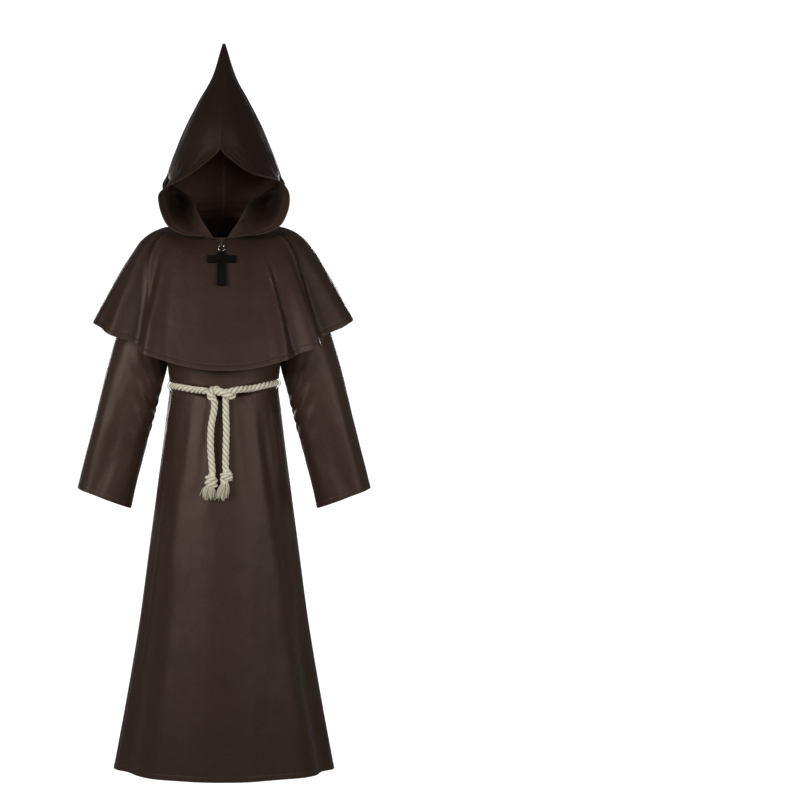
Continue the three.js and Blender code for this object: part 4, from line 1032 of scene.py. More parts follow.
# Settings
class ROBE_PG_cloth(bpy.types.PropertyGroup):
    """Sizes and colours of the cloth."""

    thickness: FloatProperty(
        name="Thickness", description="Thickness of the cloth in mm", default=0.8, min=0.2, max=3,
    )
    hem: FloatProperty(
        name="Hem", description="Distance of the hem's stitch line from its edge in mm", default=14,
        min=5, max=40,
    )
    creases: FloatProperty(
        name="Creases", description="Strength of the small creases and gathers", default=1.0, min=0, max=2,
    )
    face_color: FloatVectorProperty(
        name="Face", description="Colour of the outer face", subtype="COLOR", size=3,
        default=(0.039, 0.0205, 0.0145),
        min=0, max=1,
    )
    # The robe's cloth painted darker, as painted shade on the cape
    cape_shaded_color: FloatVectorProperty(
        name="Cape", description="Colour of the cape's outer face", subtype="COLOR", size=3,
        default=(0.031, 0.0163, 0.0116), min=0, max=1,
    )
    # The robe's cloth painted darker, as painted shade on the hood
    hood_shaded_color: FloatVectorProperty(
        name="Hood", description="Colour of the hood's outer face", subtype="COLOR", size=3,
        default=(0.018, 0.0093, 0.0069), min=0, max=1,
    )
    # The reverse painted lighter, as painted light inside the hood
    hood_inside_lit_color: FloatVectorProperty(
        name="Hood inside", description="Colour of the hood's inner face", subtype="COLOR", size=3,
        default=(0.035, 0.019, 0.014), min=0, max=1,
    )
    reverse_color: FloatVectorProperty(
        name="Reverse", description="Colour of the duller inner face", subtype="COLOR", size=3,
        default=(0.026, 0.0135, 0.0105), min=0, max=1,
    )
    thread_color: FloatVectorProperty(
        name="Thread", description="Colour of the sewing thread", subtype="COLOR", size=3,
        default=(0.05, 0.03, 0.024), min=0, max=1,
    )
    stitch: FloatProperty(name="Stitch", description="Length of a stitch in mm", default=2.8, min=1, max=6)


class ROBE_PG_trim(bpy.types.PropertyGroup):
    """Sizes and colours of the rope and the cross."""

    rope_color: FloatVectorProperty(
        name="Rope", description="Colour of the cotton rope", subtype="COLOR", size=3,
        default=(0.78, 0.71, 0.55),
        min=0, max=1,
    )
    lay: FloatProperty(
        name="Lay", description="Length of one turn of a strand in mm", default=42, min=20, max=90,
    )
    strands: IntProperty(name="Strands", description="Strands of the rope", default=3, min=2, max=5)
    yarns: IntProperty(name="Yarns", description="Yarns that show round a strand", default=8, min=4, max=16)
    fray: IntProperty(name="Fray", description="Yarns in each frayed end", default=150, min=20, max=240)
    cross_color: FloatVectorProperty(
        name="Cross", description="Colour of the cross", subtype="COLOR", size=3,
        default=(0.003, 0.0026, 0.0023),
        min=0, max=1,
    )
    wire_color: FloatVectorProperty(
        name="Wire", description="Colour of the metal ring", subtype="COLOR", size=3,
        default=(0.5, 0.49, 0.48),
        min=0, max=1,
    )


class ROBE_PG_studio(bpy.types.PropertyGroup):
    """The camera, the floor and the lights."""

    distance: FloatProperty(
        name="Distance", description="Distance of the camera", default=4.6, unit="LENGTH", min=1, max=20,
    )
    height: FloatProperty(name="Height", description="Height of the camera", default=-0.42, unit="LENGTH")
    lens: FloatProperty(name="Lens", description="Focal length in mm", default=82.8, min=20, max=300)
    shift: FloatProperty(name="Shift", description="Sideways shift of the frame", default=0.22, min=-1, max=1)
    floor_drop: FloatProperty(
        name="Floor", description="Gap between the hem and the floor", default=0.08, unit="LENGTH", min=0,
        max=1,
    )
    key: FloatProperty(name="Key", description="Power of the key light", default=14.5, min=0, max=1000)
    fill: FloatProperty(name="Fill", description="Power of the fill light", default=8.5, min=0, max=1000)
    back: FloatProperty(name="Back", description="Power of the light from behind", default=9, min=0, max=1000)
    front: FloatProperty(
        name="Front", description="Power of the light beside the camera", default=2.2, min=0, max=1000,
    )
    world: FloatProperty(
        name="Surround", description="Strength of the white surround", default=0.08, min=0, max=3,
    )


# What the operators share
def cloth_materials(settings, piece="robe"):
    """The outer and the inner face of the cloth: the cape and the hood are the robe's cloth painted darker as
    painted shade, and the hood's inside is the reverse painted lighter as painted light.
    """
    colors = {"robe": settings.face_color, "cape": settings.cape_shaded_color, "hood": settings.hood_shaded_color}
    hood = piece == "hood"
    face = cloth_material(
        f"{piece}_cloth", colors[piece], 0.52 if hood else 0.46, 0.06, gloss=0.16 if hood else 0.28,
    )
    if hood:
        # The hood's inner face, painted lighter, with painted shade in the fold and painted bounce light on
        # the far wall
        reverse = cloth_material("hood_reverse", settings.hood_inside_lit_color, 0.7, 0.05, deep=2.9, gloss=0.12)
    else:
        reverse = cloth_material("cloth_reverse", settings.reverse_color, 0.8, 0.03, gloss=0.08)
    return [face, reverse]


def hem_relief(distance, hem):
    """Height of a turned hem at a distance from its edge: a band, a stitched groove and a soft step."""
    band = 0.35 * (1 - smooth(distance, hem - 1.5, hem + 3.0))
    groove = 0.55 * np.exp(-(((distance - hem) / 1.3) ** 2))
    edge = 0.35 * np.exp(-((distance / 1.2) ** 2))
    return band - groove - edge


def hem_highlight(distance, hem):
    """Painted highlight along a hem, where its fold catches light: most at its edge, and a little beside its
    stitches.
    """
    return 0.55 * np.exp(-((distance / 1.8) ** 2)) + 0.12 * np.exp(-(((distance - hem - 1.5) / 1.4) ** 2))


def seam_highlight(distance):
    """Painted highlight on the cloth beside a seam."""
    return 0.35 * np.exp(-(((distance - 3.2) / 1.6) ** 2))


def pucker(distance, hem, along, seed):
    """Small puckers that the stitching draws into a hem."""
    near = np.exp(-(((distance - hem * 0.6) / (hem * 0.8)) ** 2))
    return 0.4 * near * noise(along / 9.0, distance / 40, seed)


def seam_relief(distance):
    """The cloth turning in towards a seam."""
    return -1.1 * np.exp(-((distance / 1.6) ** 2)) - 0.25 * np.exp(-((distance / 6) ** 2))


def edge_rows(start, end, steps, hem):
    """Places from start to end in mm, closer beside the hem."""
    near = np.array([0, 0.9, 2.2, 5, hem - 4, hem - 1.8, hem - 0.8, hem, hem + 0.8, hem + 1.8, hem + 4])
    sign = 1 if end > start else -1
    rest = np.linspace(start + sign * (near[-1] + 3), end, steps)
    return np.concatenate([start + sign * near, rest])


def stitched(name, lines, settings):
    """Stitches along lines, as one piece of thread."""
    obj = polylines(name, lines)
    thread = thread_material("sewing_thread", settings.thread_color)
    tree = bpy.data.node_groups.get("Stitches on a line") or stitch_tree()
    stitch = settings.stitch * MM
    grown(obj, tree, Pitch=stitch * 1.2, Length=stitch, Thread=0.55 * MM, Material=thread)
    return finish_piece(obj, "garment", "thread")


def roped(name, lines, material, diameter, lay, strands, yarns, step, sides, depth=0.14):
    """Rope along lines, as one mesh."""
    obj = polylines(name, lines)
    tree = bpy.data.node_groups.get("Laid rope") or rope_tree()
    return grown(
        obj, tree, Diameter=diameter * MM, Strands=strands, Lay=lay * MM, Yarns=yarns, Yarn_Depth=depth,
        Yarn_Lay=lay * 1.4 * MM, Step=step * MM, Sides=sides, Material=material,
    )


def split_rope(obj, cuts):
    """Cuts a rope across at lengths along it, and gives the pieces in order with their cuts closed."""
    mesh = obj.data
    along = np.empty(len(mesh.vertices), np.float32)
    mesh.attributes["along"].data.foreach_get("value", along)
    pieces = []
    for start, end in zip(cuts, cuts[1:]):
        whole = bmesh.new()
        whole.from_mesh(mesh)
        whole.verts.ensure_lookup_table()
        spare = []
        for face in whole.faces:
            middle = sum(along[v.index] for v in face.verts) / len(face.verts)
            if not start <= middle < end:
                spare.append(face)
        bmesh.ops.delete(whole, geom=spare, context="FACES")
        open_edges = [edge for edge in whole.edges if edge.is_boundary]
        bmesh.ops.holes_fill(whole, edges=open_edges)
        piece = bpy.data.meshes.new("rope")
        whole.to_mesh(piece)
        whole.free()
        for material in mesh.materials:
            piece.materials.append(material)
        pieces.append(piece)
    return pieces


def new_object(name, mesh):
    mesh.name = name
    obj = bpy.data.objects.new(name, mesh)
    bpy.context.collection.objects.link(obj)
    return obj


class RobeOperator:
    """What the operators have in common."""

    bl_options = {"REGISTER", "UNDO"}


class ROBE_OT_studio(RobeOperator, bpy.types.Operator):
    """Adds the camera, the seamless paper and the lights"""

    bl_idname = "robe.studio"
    bl_label = "Studio"

    def execute(self, context):
        studio = context.scene.robe_studio
        middle = Vector((0, 0, studio.height))
        camera = bpy.data.cameras.new("camera")
        camera.sensor_width = 36
        camera.lens = studio.lens
        camera.shift_x = studio.shift
        camera.clip_end = 50
        holder = bpy.data.objects.new("camera", camera)
        holder.location = middle + Vector((0, -studio.distance, 0))
        holder.rotation_euler = (math.radians(90), 0, 0)
        context.collection.objects.link(holder)
        context.scene.camera = holder
        floor = HEM_Z * MM - studio.floor_drop
        self.paper(floor)
        for name, place, size, power in (
            ("key", (-2.3, -2.7, 0.45), 1.3, studio.key),
            ("fill", (2.3, -2.7, 0.2), 1.3, studio.fill),
            ("front", (0.5, -3.9, -0.1), 1.0, studio.front),
            ("back_key", (1.4, 3.7, 0.5), 1.1, studio.back),
            ("back_fill", (-1.6, 3.5, 0.2), 1.1, studio.back * 0.8),
        ):
            light = bpy.data.lights.new(name, "AREA")
            light.shape = "DISK"
            light.size = size
            light.spread = math.radians(80)
            light.energy = power
            lamp = bpy.data.objects.new(name, light)
            lamp.location = place
            lamp.rotation_euler = (Vector((0, 0, -0.05)) - lamp.location).to_track_quat("-Z", "Y").to_euler()
            context.collection.objects.link(lamp)
        world = bpy.data.worlds.new("surround")
        world.use_nodes = True
        world.node_tree.nodes["Background"].inputs["Color"].default_value = (1, 1, 1, 1)
        world.node_tree.nodes["Background"].inputs["Strength"].default_value = studio.world
        context.scene.world = world
        context.scene.view_settings.view_transform = "Standard"
        return {"FINISHED"}

    def paper(self, floor):
        """A floor for all sides: a wide disc that turns up at its rim."""
        rings = [(0.0, 0.0), (3.0, 0.0), (5.6, 0.0)]
        rings += [
            (5.6 + 1.4 * math.sin(a), 1.4 - 1.4 * math.cos(a)) for a in np.linspace(0.2, math.pi / 2, 8)
        ]
        rings += [(7.0, 5.0)]
        sides = 64
        vertices = [(0, 0, floor)]
        for radius, rise in rings[1:]:
            for turn in np.linspace(0, 2 * math.pi, sides, endpoint=False):
                vertices.append((radius * math.cos(turn), radius * math.sin(turn), floor + rise))
        faces = [(0, 1 + i, 1 + (i + 1) % sides) for i in range(sides)]
        for ring in range(len(rings) - 2):
            for i in range(sides):
                first = 1 + ring * sides
                after = (i + 1) % sides
                faces.append((first + i, first + sides + i, first + sides + after, first + after))
        mesh = bpy.data.meshes.new("paper")
        mesh.from_pydata(vertices, [], faces)
        mesh.materials.append(backdrop_material("white_paper"))
        mesh.shade_smooth()
        obj = bpy.data.objects.new("paper", mesh)
        bpy.context.collection.objects.link(obj)
        # The paper's own glow keeps it white and leaves the cloth to the lamps
        lit = bpy.data.collections.new("lit_by_paper")
        lit.objects.link(obj)
        obj.light_linking.receiver_collection = lit


class ROBE_OT_belt(RobeOperator, bpy.types.Operator):
    """Lays the rope round the waist, ties it and hangs its two ends"""

    bl_idname = "robe.belt"
    bl_label = "Rope belt"

    def execute(self, context):
        trim = context.scene.robe_trim
        cotton = rope_material("cotton_rope", trim.rope_color)
        around = [belt_point(a) for a in np.linspace(BELT["start"], 360 - BELT["start"], BELT["steps"] + 1)]
        route = [
            *END_ROUTES["left"][:0:-1], *KNOT_OVER[::-1], *around[::-1], *KNOT_UNDER,
            *END_ROUTES["right"][1:],
        ]
        step = 1.8
        path = smooth_path(route, step)
        whole = roped(
            "belt", [path], cotton, ROPE + 0.8, trim.lay, trim.strands, trim.yarns, step, trim.yarns * 5,
        )
        reach = np.concatenate([[0], np.cumsum(np.linalg.norm(np.diff(path, axis=0), axis=1))])

        def nearest(place):
            return int(np.argmin(np.linalg.norm(path - np.array(place), axis=1)))

        marks = [
            nearest(END_ROUTES["left"][0]), nearest(KNOT_OVER[0]), nearest(KNOT_UNDER[0]),
            nearest(END_ROUTES["right"][0]),
        ]
        cuts = [-1.0, *((reach[i] + step / 2) * MM for i in marks), 10.0]
        names = ["left_end", "knot_over", "waist_rope", "knot_under", "right_end"]
        made = {name: new_object(name, mesh) for name, mesh in zip(names, split_rope(whole, cuts))}
        bpy.data.objects.remove(whole)
        finish_piece(made["waist_rope"], "garment", "rope", "belt_rope")
        finish_piece(made["knot_over"], "garment", "rope", "belt_knot")
        finish_piece(made["knot_under"], "garment", "rope", "belt_knot")
        parts = {"left": path[marks[0]::-1], "right": path[marks[3]:]}
        for side, line in parts.items():
            piece = finish_piece(made[f"{side}_end"], "garment", "rope", f"belt_end_{side}")
            tassel = self.tassel(side, cotton, trim)
        return {"FINISHED"}

    def tassel(self, side, cotton, trim):
        """The knot at the end of the rope and the yarns that fray out below it."""
        end = END_KNOTS[side]
        middle = np.array(end["middle"], float)
        foot = np.array(end["foot"], float)
        top = np.array(END_ROUTES[side][-1], float)
        turns = np.linspace(0, 1.45, 20)
        angle = np.radians(end["turn"]) + turns * 2 * math.pi
        wrap = points(9 * np.cos(angle), 7.4 * np.sin(angle), 8 - 11.5 * turns) + middle
        leave = lerp(middle, foot, 0.35)
        route = [top + (0, 0, 4), lerp(top, wrap[0], 0.5), *wrap, lerp(wrap[-1], leave, 0.6), leave]
        core = smooth_path([top, middle, leave], 1.5)
        rope = [smooth_path(route, 1.5), core]
        knot = roped(f"knot_{side}", rope, cotton, 15, 34, trim.strands, trim.yarns, 1.5, trim.yarns * 5)
        rng = np.random.default_rng(7 if side == "left" else 8)
        lines = []
        root = lerp(middle, foot, 0.25)
        for i in range(trim.fray):
            spread_to = math.sqrt((i + 0.5) / trim.fray)
            turn = i * 2.39996
            clump = 0.16 * math.sin(turn * 7 + end["turn"])
            spoke = np.array((math.cos(turn + clump), 0.75 * math.sin(turn + clump), 0)) * spread_to
            start = root + spoke * end["flare"] * 0.5
            reach = rng.uniform(0.75, 1.25) + 0.5 * (rng.random() < 0.08)
            drop = rng.uniform(-5, 8) + 5 * math.sin(turn * 3 + end["turn"])
            tip = foot + spoke * end["flare"] * reach + (0, 0, drop)
            bend = np.linspace(0, 1, 12)[:, None]
            sway = rng.uniform(-2.2, 2.2, 3) * (1, 1, 0.3)
            wave = np.sin(bend * rng.uniform(5, 10) + rng.uniform(0, 6)) * rng.uniform(0.6, 2.0)
            belly = np.sin(bend * math.pi)
            lines.append(
                lerp(start, tip, bend) + sway * belly + spoke * belly * 3.5 + wave * (0.8, 0.5, 0) * bend,
            )
        fray = polylines(f"fray_{side}", lines)
        tree = bpy.data.node_groups.get("Loose yarns") or yarn_tree()
        grown(fray, tree, Thickness=1.45 * MM, Step=2.5 * MM, Sides=6, Material=cotton)
        joined = bmesh.new()
        joined.from_mesh(knot.data)
        joined.from_mesh(fray.data)
        mesh = bpy.data.meshes.new(f"{side}_tassel")
        joined.to_mesh(mesh)
        joined.free()
        mesh.materials.append(cotton)
        bpy.data.objects.remove(knot)
        bpy.data.objects.remove(fray)
        return finish_piece(new_object(mesh.name, mesh), "garment", "rope", f"belt_tassel_{side}")


class ROBE_OT_carriers(RobeOperator, bpy.types.Operator):
    """Adds the thread carriers at the side seams and the thread loop at the neck"""

    bl_idname = "robe.carriers"
    bl_label = "Thread carriers"

    def execute(self, context):
        cloth = context.scene.robe_cloth
        thread = thread_material("sewing_thread", cloth.thread_color)
        reach = ROPE / 2 + 2.2
        for side, name in ((1, "left"), (-1, "right")):
            rope = belt_point(np.array(90.0 * side))
            top = body_point(np.array(90.0 * side), rope[2] + 14)[0] * side
            foot = body_point(np.array(90.0 * side), rope[2] - 14)[0] * side
            outline = [
                (top + 0.5, 14), (abs(rope[0]) + reach * 0.55, 11.5), (abs(rope[0]) + reach, 4.2),
                (abs(rope[0]) + reach, -4.2), (abs(rope[0]) + reach * 0.55, -11.5), (foot + 0.5, -14),
            ]
            lines = [
                smooth_path([(x * side, rope[1] + off, rope[2] + z) for x, z in outline], 1.0)
                for off in (-1.9, 0, 1.9)
            ]
            obj = roped(f"{name}_carrier", lines, thread, 2.0, 7, 2, 3, 0.8, 12)
            finish_piece(obj, "garment", "thread", f"carrier_{name}")
        turn = np.linspace(0, 2 * math.pi, 60)
        ring = points(
            NECK_LOOP["x"] + 0.25 * np.sin(turn * 3),
            NECK_LOOP["y"] + NECK_LOOP["radius"] * np.cos(turn),
            NECK_LOOP["z"] + NECK_LOOP["radius"] * np.sin(turn),
        )
        loop = roped("neck_thread", [ring], thread, 2 * NECK_LOOP["wire"], 6, 3, 3, 0.6, 12)
        finish_piece(loop, "garment", "thread", "neck_loop")
        return {"FINISHED"}


class ROBE_OT_panels(RobeOperator, bpy.types.Operator):
    """Makes the front and the back of the robe, with their hems and seams"""

    bl_idname = "robe.panels"
    bl_label = "Robe front and back"

    def execute(self, context):
        cloth = context.scene.robe_cloth
        for name, face in (("robe_front", -1), ("robe_back", 1)):
            self.panel(name, face, cloth)
        return {"FINISHED"}

    def panel(self, name, face, cloth):
        skirt = np.concatenate([
            edge_rows(HEM_Z, -530, 96, cloth.hem),
            np.arange(-526, -420, 4.0),
            np.arange(-420, -356, 2.2),
            np.arange(-355, UNDERARM_Z, 3.0),
        ])
        yoke = (1 - np.cos(np.linspace(0, math.pi, 31))) / 2
        across = np.concatenate([
            [-1, -0.997, -0.993, -0.988, -0.982], np.linspace(-0.972, 0.972, 163),
            [0.982, 0.988, 0.993, 0.997, 1],
        ]) * -face
        z, u = np.meshgrid(skirt, across, indexing="ij")
        angle = u * 90 if face < 0 else 180 - u * 90
        lower = z + (belt_z(angle) - BELT["z"]) * belt_shift(z)
        side = (1 - np.abs(u)) * 1.4 * BODY["wide"](z)
        detail = robe_detail(angle, lower, cloth.creases)
        along = angle * 1.15 * BODY["wide"](HEM_Z) * math.pi / 180
        free = smooth(side, 0, 12)
        detail = detail + hem_relief(z - HEM_Z, cloth.hem) + free * pucker(z - HEM_Z, cloth.hem, along, 5)
        detail = detail + seam_relief(side)
        # Painted highlight along the hem and beside the side seams
        painted_light = hem_highlight(z - HEM_Z, cloth.hem) + seam_highlight(side)
        below = body_point(angle, lower, detail)
        v, u = np.meshgrid(yoke, across, indexing="ij")
        above = yoke_with_armhole(u, v, face)
        grid = np.concatenate([below, above])
        painted_light = np.concatenate([painted_light, np.tile(seam_highlight(side[-1]), (len(yoke), 1))])
        grid[..., 1] = face * np.maximum(face * grid[..., 1], 0)
        hold = np.ones_like(grid)
        hold[:len(skirt) + 1, [0, -1], 1] = 0
        hold[len(skirt) + 1:, [0, -1], 0] = 0
        hold[-1, np.abs(across) > NECK_SHARE * 0.95, 1] = 0
        obj = shell(f"{name}_panel", grid, cloth.thickness, cloth_materials(cloth), hold=hold, painted_light=painted_light)
        finish_piece(obj, "garment", "robe_cloth", name)
        stitches = self.stitches(name, grid, skirt, cloth)

    def stitches(self, name, grid, skirt, cloth):
        """The stitch line along the hem."""
        row = int(np.argmin(np.abs(skirt - HEM_Z - cloth.hem)))
        line = grid[row] + normals_of(grid)[row] * STITCH_LIFT
        return stitched(f"{name}_stitches", [line], cloth)


class ROBE_OT_sleeves(RobeOperator, bpy.types.Operator):
    """Makes the two sleeves with their hemmed cuffs"""

    bl_idname = "robe.sleeves"
    bl_label = "Sleeves"

    def execute(self, context):
        cloth = context.scene.robe_cloth
        length = 640
        rows = edge_rows(length, 0, 90, cloth.hem)
        turns = np.linspace(180, -180, 121)[:-1]
        distance, turn = np.meshgrid(length - rows, turns, indexing="ij")
        s = np.clip(1 - distance / length, 0, 1)
        for side, name in ((1, "left"), (-1, "right")):
            shift = 0 if side > 0 else 0.13
            detail = sleeve_detail(turn + shift * 60, s + shift * 0.2 * s * (1 - s), cloth.creases)
            detail = detail + hem_relief(distance, cloth.hem) + pucker(distance, cloth.hem, turn * 1.9, 6)
            detail = detail + seam_relief(np.abs(turned(turn, 180)) * 1.2)
            # Painted highlight along the cuff's hem and beside the seam
            painted_light = hem_highlight(distance, cloth.hem) + seam_highlight(np.abs(turned(turn, 180)) * 1.2)
            grid = sleeve_point(turn, s, detail)
            if side < 0:
                grid = (grid * [-1, 1, 1])[:, ::-1]
            hold = np.ones_like(grid)
            hold[-1, :, 0] = 0
            obj = shell(
                f"{name}_sleeve", grid, cloth.thickness, cloth_materials(cloth), closed=True, hold=hold,
                painted_light=painted_light,
            )
            finish_piece(obj, "garment", "robe_cloth", f"sleeve_{name}")
            row = int(np.argmin(np.abs(length - rows - cloth.hem)))
            line = grid[row] + normals_of(grid, closed=True)[row] * STITCH_LIFT
            stitches = stitched(f"sleeve_{name}_stitches", [np.concatenate([line, line[:1]])], cloth)
        return {"FINISHED"}


class ROBE_OT_cape(RobeOperator, bpy.types.Operator):
    """Makes the shoulder cape with its folds and narrow hem"""

    bl_idname = "robe.cape"
    bl_label = "Cape"

    def execute(self, context):
        cloth = context.scene.robe_cloth
        rows = edge_rows(CAPE_LENGTH, 0, 84, cloth.hem)
        slit = 0.1
        angles = np.concatenate([
            [-180 + slit, -179.6, -179.1, -178.3], np.linspace(-177.2, 177.2, 300),
            [178.3, 179.1, 179.6, 180 - slit],
        ])
        distance, angle = np.meshgrid(CAPE_LENGTH - rows, angles, indexing="ij")
        t = np.clip(1 - distance / CAPE_LENGTH, 0, 1)
        grid = cape_point(angle, t, cloth.creases)
        normal = normals_of(grid)
        off = (180 - np.abs(angle)) * lerp(85, 167, t) * math.pi / 180
        relief = hem_relief(distance, cloth.hem) + pucker(distance, cloth.hem, angle * 5.2, 9)
        relief = relief + seam_relief(off)
        grid = grid + normal * relief[..., None]
        grid[:, [0, -1], 0] = 0
        # Painted light for the cape: highlight on the hem and beside the back seam, painted highlight on
        # crease crests and painted shade in crease valleys, stronger behind
        crease_shade_depth = np.clip(creases(CAPE_CREASES, t, angle, lerp(95, 262, t)), -5, 5)
        behind = smooth(np.abs(angle), 80, 110)
        painted_light = hem_highlight(distance, cloth.hem) + seam_highlight(off)
        painted_light = painted_light + lerp(0.05, 0.085, behind) * crease_shade_depth * cloth.creases
        # Darker in a band about 55 to 80 mm wide beside the centre-back edges
        painted_light = np.maximum(painted_light - 0.22 * (1 - smooth(off, 55, 80)), -0.5)
        hold = np.ones_like(grid)
        hold[:, [0, -1], 0] = 0
        obj = shell(
            "shoulder_cape", grid, cloth.thickness, cloth_materials(cloth, "cape"), hold=hold, painted_light=painted_light,
        )
        finish_piece(obj, "garment", "cape_cloth", "cape")
        row = int(np.argmin(np.abs(CAPE_LENGTH - rows - cloth.hem)))
        line = grid[row] + normals_of(grid)[row] * STITCH_LIFT
        stitches = stitched("cape_stitches", [line], cloth)
        return {"FINISHED"}


class ROBE_OT_hood(RobeOperator, bpy.types.Operator):
    """Makes the two halves of the pointed hood, with the rolled front edge"""

    bl_idname = "robe.hood"
    bl_label = "Hood"

    def execute(self, context):
        cloth = context.scene.robe_cloth
        rows = np.concatenate([np.linspace(0, 14, 98), np.linspace(14.12, HOOD_ROWS, 60)])
        columns = np.concatenate([
            [0, 0.05, 0.12, 0.22, 0.36], np.linspace(0.55, 20.3, 96),
            [20.6, 20.8, 20.93, 21.0, 21.07, 21.2, 21.4, 21.65, 21.8, 21.9, 21.96, 22],
        ])
        stitch_column = 21.0
        backs = []
        for side, name in ((1, "left"), (-1, "right")):
            grid, lean = hood_points(columns, rows, side, cloth.creases)
            row, column = np.meshgrid(rows, columns, indexing="ij")
            step = cloth.hem / (HOOD_COLUMNS - stitch_column)
            from_edge = (HOOD_COLUMNS - column) * step
            open_edge = 1 - smooth(row, 13.4, 14.1)
            turned_hem = hem_relief(from_edge, cloth.hem) + pucker(from_edge, cloth.hem, row * 11, 15)
            relief = open_edge * turned_hem
            relief = relief + (1 - open_edge) * seam_relief(from_edge * (1 - smooth(row, 19, 22) * 0.8))
            relief = relief + seam_relief(column * 12.0)
            relief = relief * (1 - smooth(row, 20.5, 21.8))
            # Painted highlight along the rolled free edge, three times as strong as on the robe, and beside
            # the seams
            painted_light = open_edge * hem_highlight(from_edge, cloth.hem) * 3.0 + (1 - open_edge) * seam_highlight(from_edge)
            painted_light = painted_light + seam_highlight(column * 12.0)
            out = normals_of(grid, side=-side)
            grid = grid + out * relief[..., None]
            local = side * (grid[..., 0] - lean)
            grid[..., 0] = lean + side * np.maximum(local, 0)
            hold = np.ones_like(grid)
            hold[:, 0, 0] = 0
            hold[rows >= 14, -1, 0] = 0
            hold[0, :, 2] = 0
            thin = lerp(1, 0.3, smooth(row, 19, 22))
            inside = grid - normals_of(grid, side=-side) * (cloth.thickness + 0.25)
            backs.append(inside[:, 6:0:-1] if side > 0 else inside[:, 1:7])
            if side > 0:
                grid, hold, thin, painted_light = (part[:, ::-1] for part in (grid, hold, thin, painted_light))
            obj = shell(
                f"{name}_hood", grid, cloth.thickness, cloth_materials(cloth, "hood"), hold=hold, thin=thin,
                painted_light=painted_light,
            )
            finish_piece(obj, "garment", "cape_cloth", f"hood_{name}")
            if side > 0:
                grid = grid[:, ::-1]
            at = int(np.argmin(np.abs(columns - stitch_column)))
            line = (grid + out * STITCH_LIFT)[(rows > 0.3) & (rows < 14), at]
            stitches = stitched(f"hood_{name}_stitches", [line], cloth)
        self.tapes(backs, rows, cloth)
        return {"FINISHED"}

    def tapes(self, backs, rows, cloth):
        """Tape over the back seam inside the hood, and round the inside of the neckline."""
        # The tape takes the hood's lighter inside colour, with painted shade and painted bounce light
        tape = [cloth_material("seam_tape", cloth.hood_inside_lit_color, 0.6, 0.05, deep=3.5, gloss=0.12)]
        kept = rows < 21
        middle = (backs[0][kept, -1:] + backs[1][kept, :1]) / 2
        grid = np.concatenate([backs[0][kept], middle, backs[1][kept]], axis=1)
        # Painted highlight along the middle of the tape
        ridge_highlight = np.exp(-((np.linspace(-1, 1, grid.shape[1]) / 0.3) ** 2))
        painted_light = np.tile(ridge_highlight * 0.5, (len(grid), 1))
        for piece in (
            shell("hood_back_tape", grid, 0.5, tape, painted_light=painted_light),
            shell("neck_tape", self.neck_ring(), 0.5, tape, closed=True),
        ):
            finish_piece(piece, "garment", "cape_cloth")

    def neck_ring(self):
        """The path of the neck tape, from below the seam to just over it."""
        angle = np.linspace(-180, 180, 145)[:-1]
        ring = collar_point(angle)
        inwards = points(-np.sin(np.radians(angle)), np.cos(np.radians(angle)), 0)
        rows = []
        for drop, inset in ((-9, 3.4), (-6, 3.0), (-3, 2.6), (0, 2.2), (3, 1.6), (6, 0.9)):
            row = ring + inwards * inset + (0, 0, drop)
            row[..., 0] += lean_at(row)
            rows.append(row)
        return np.array(rows)


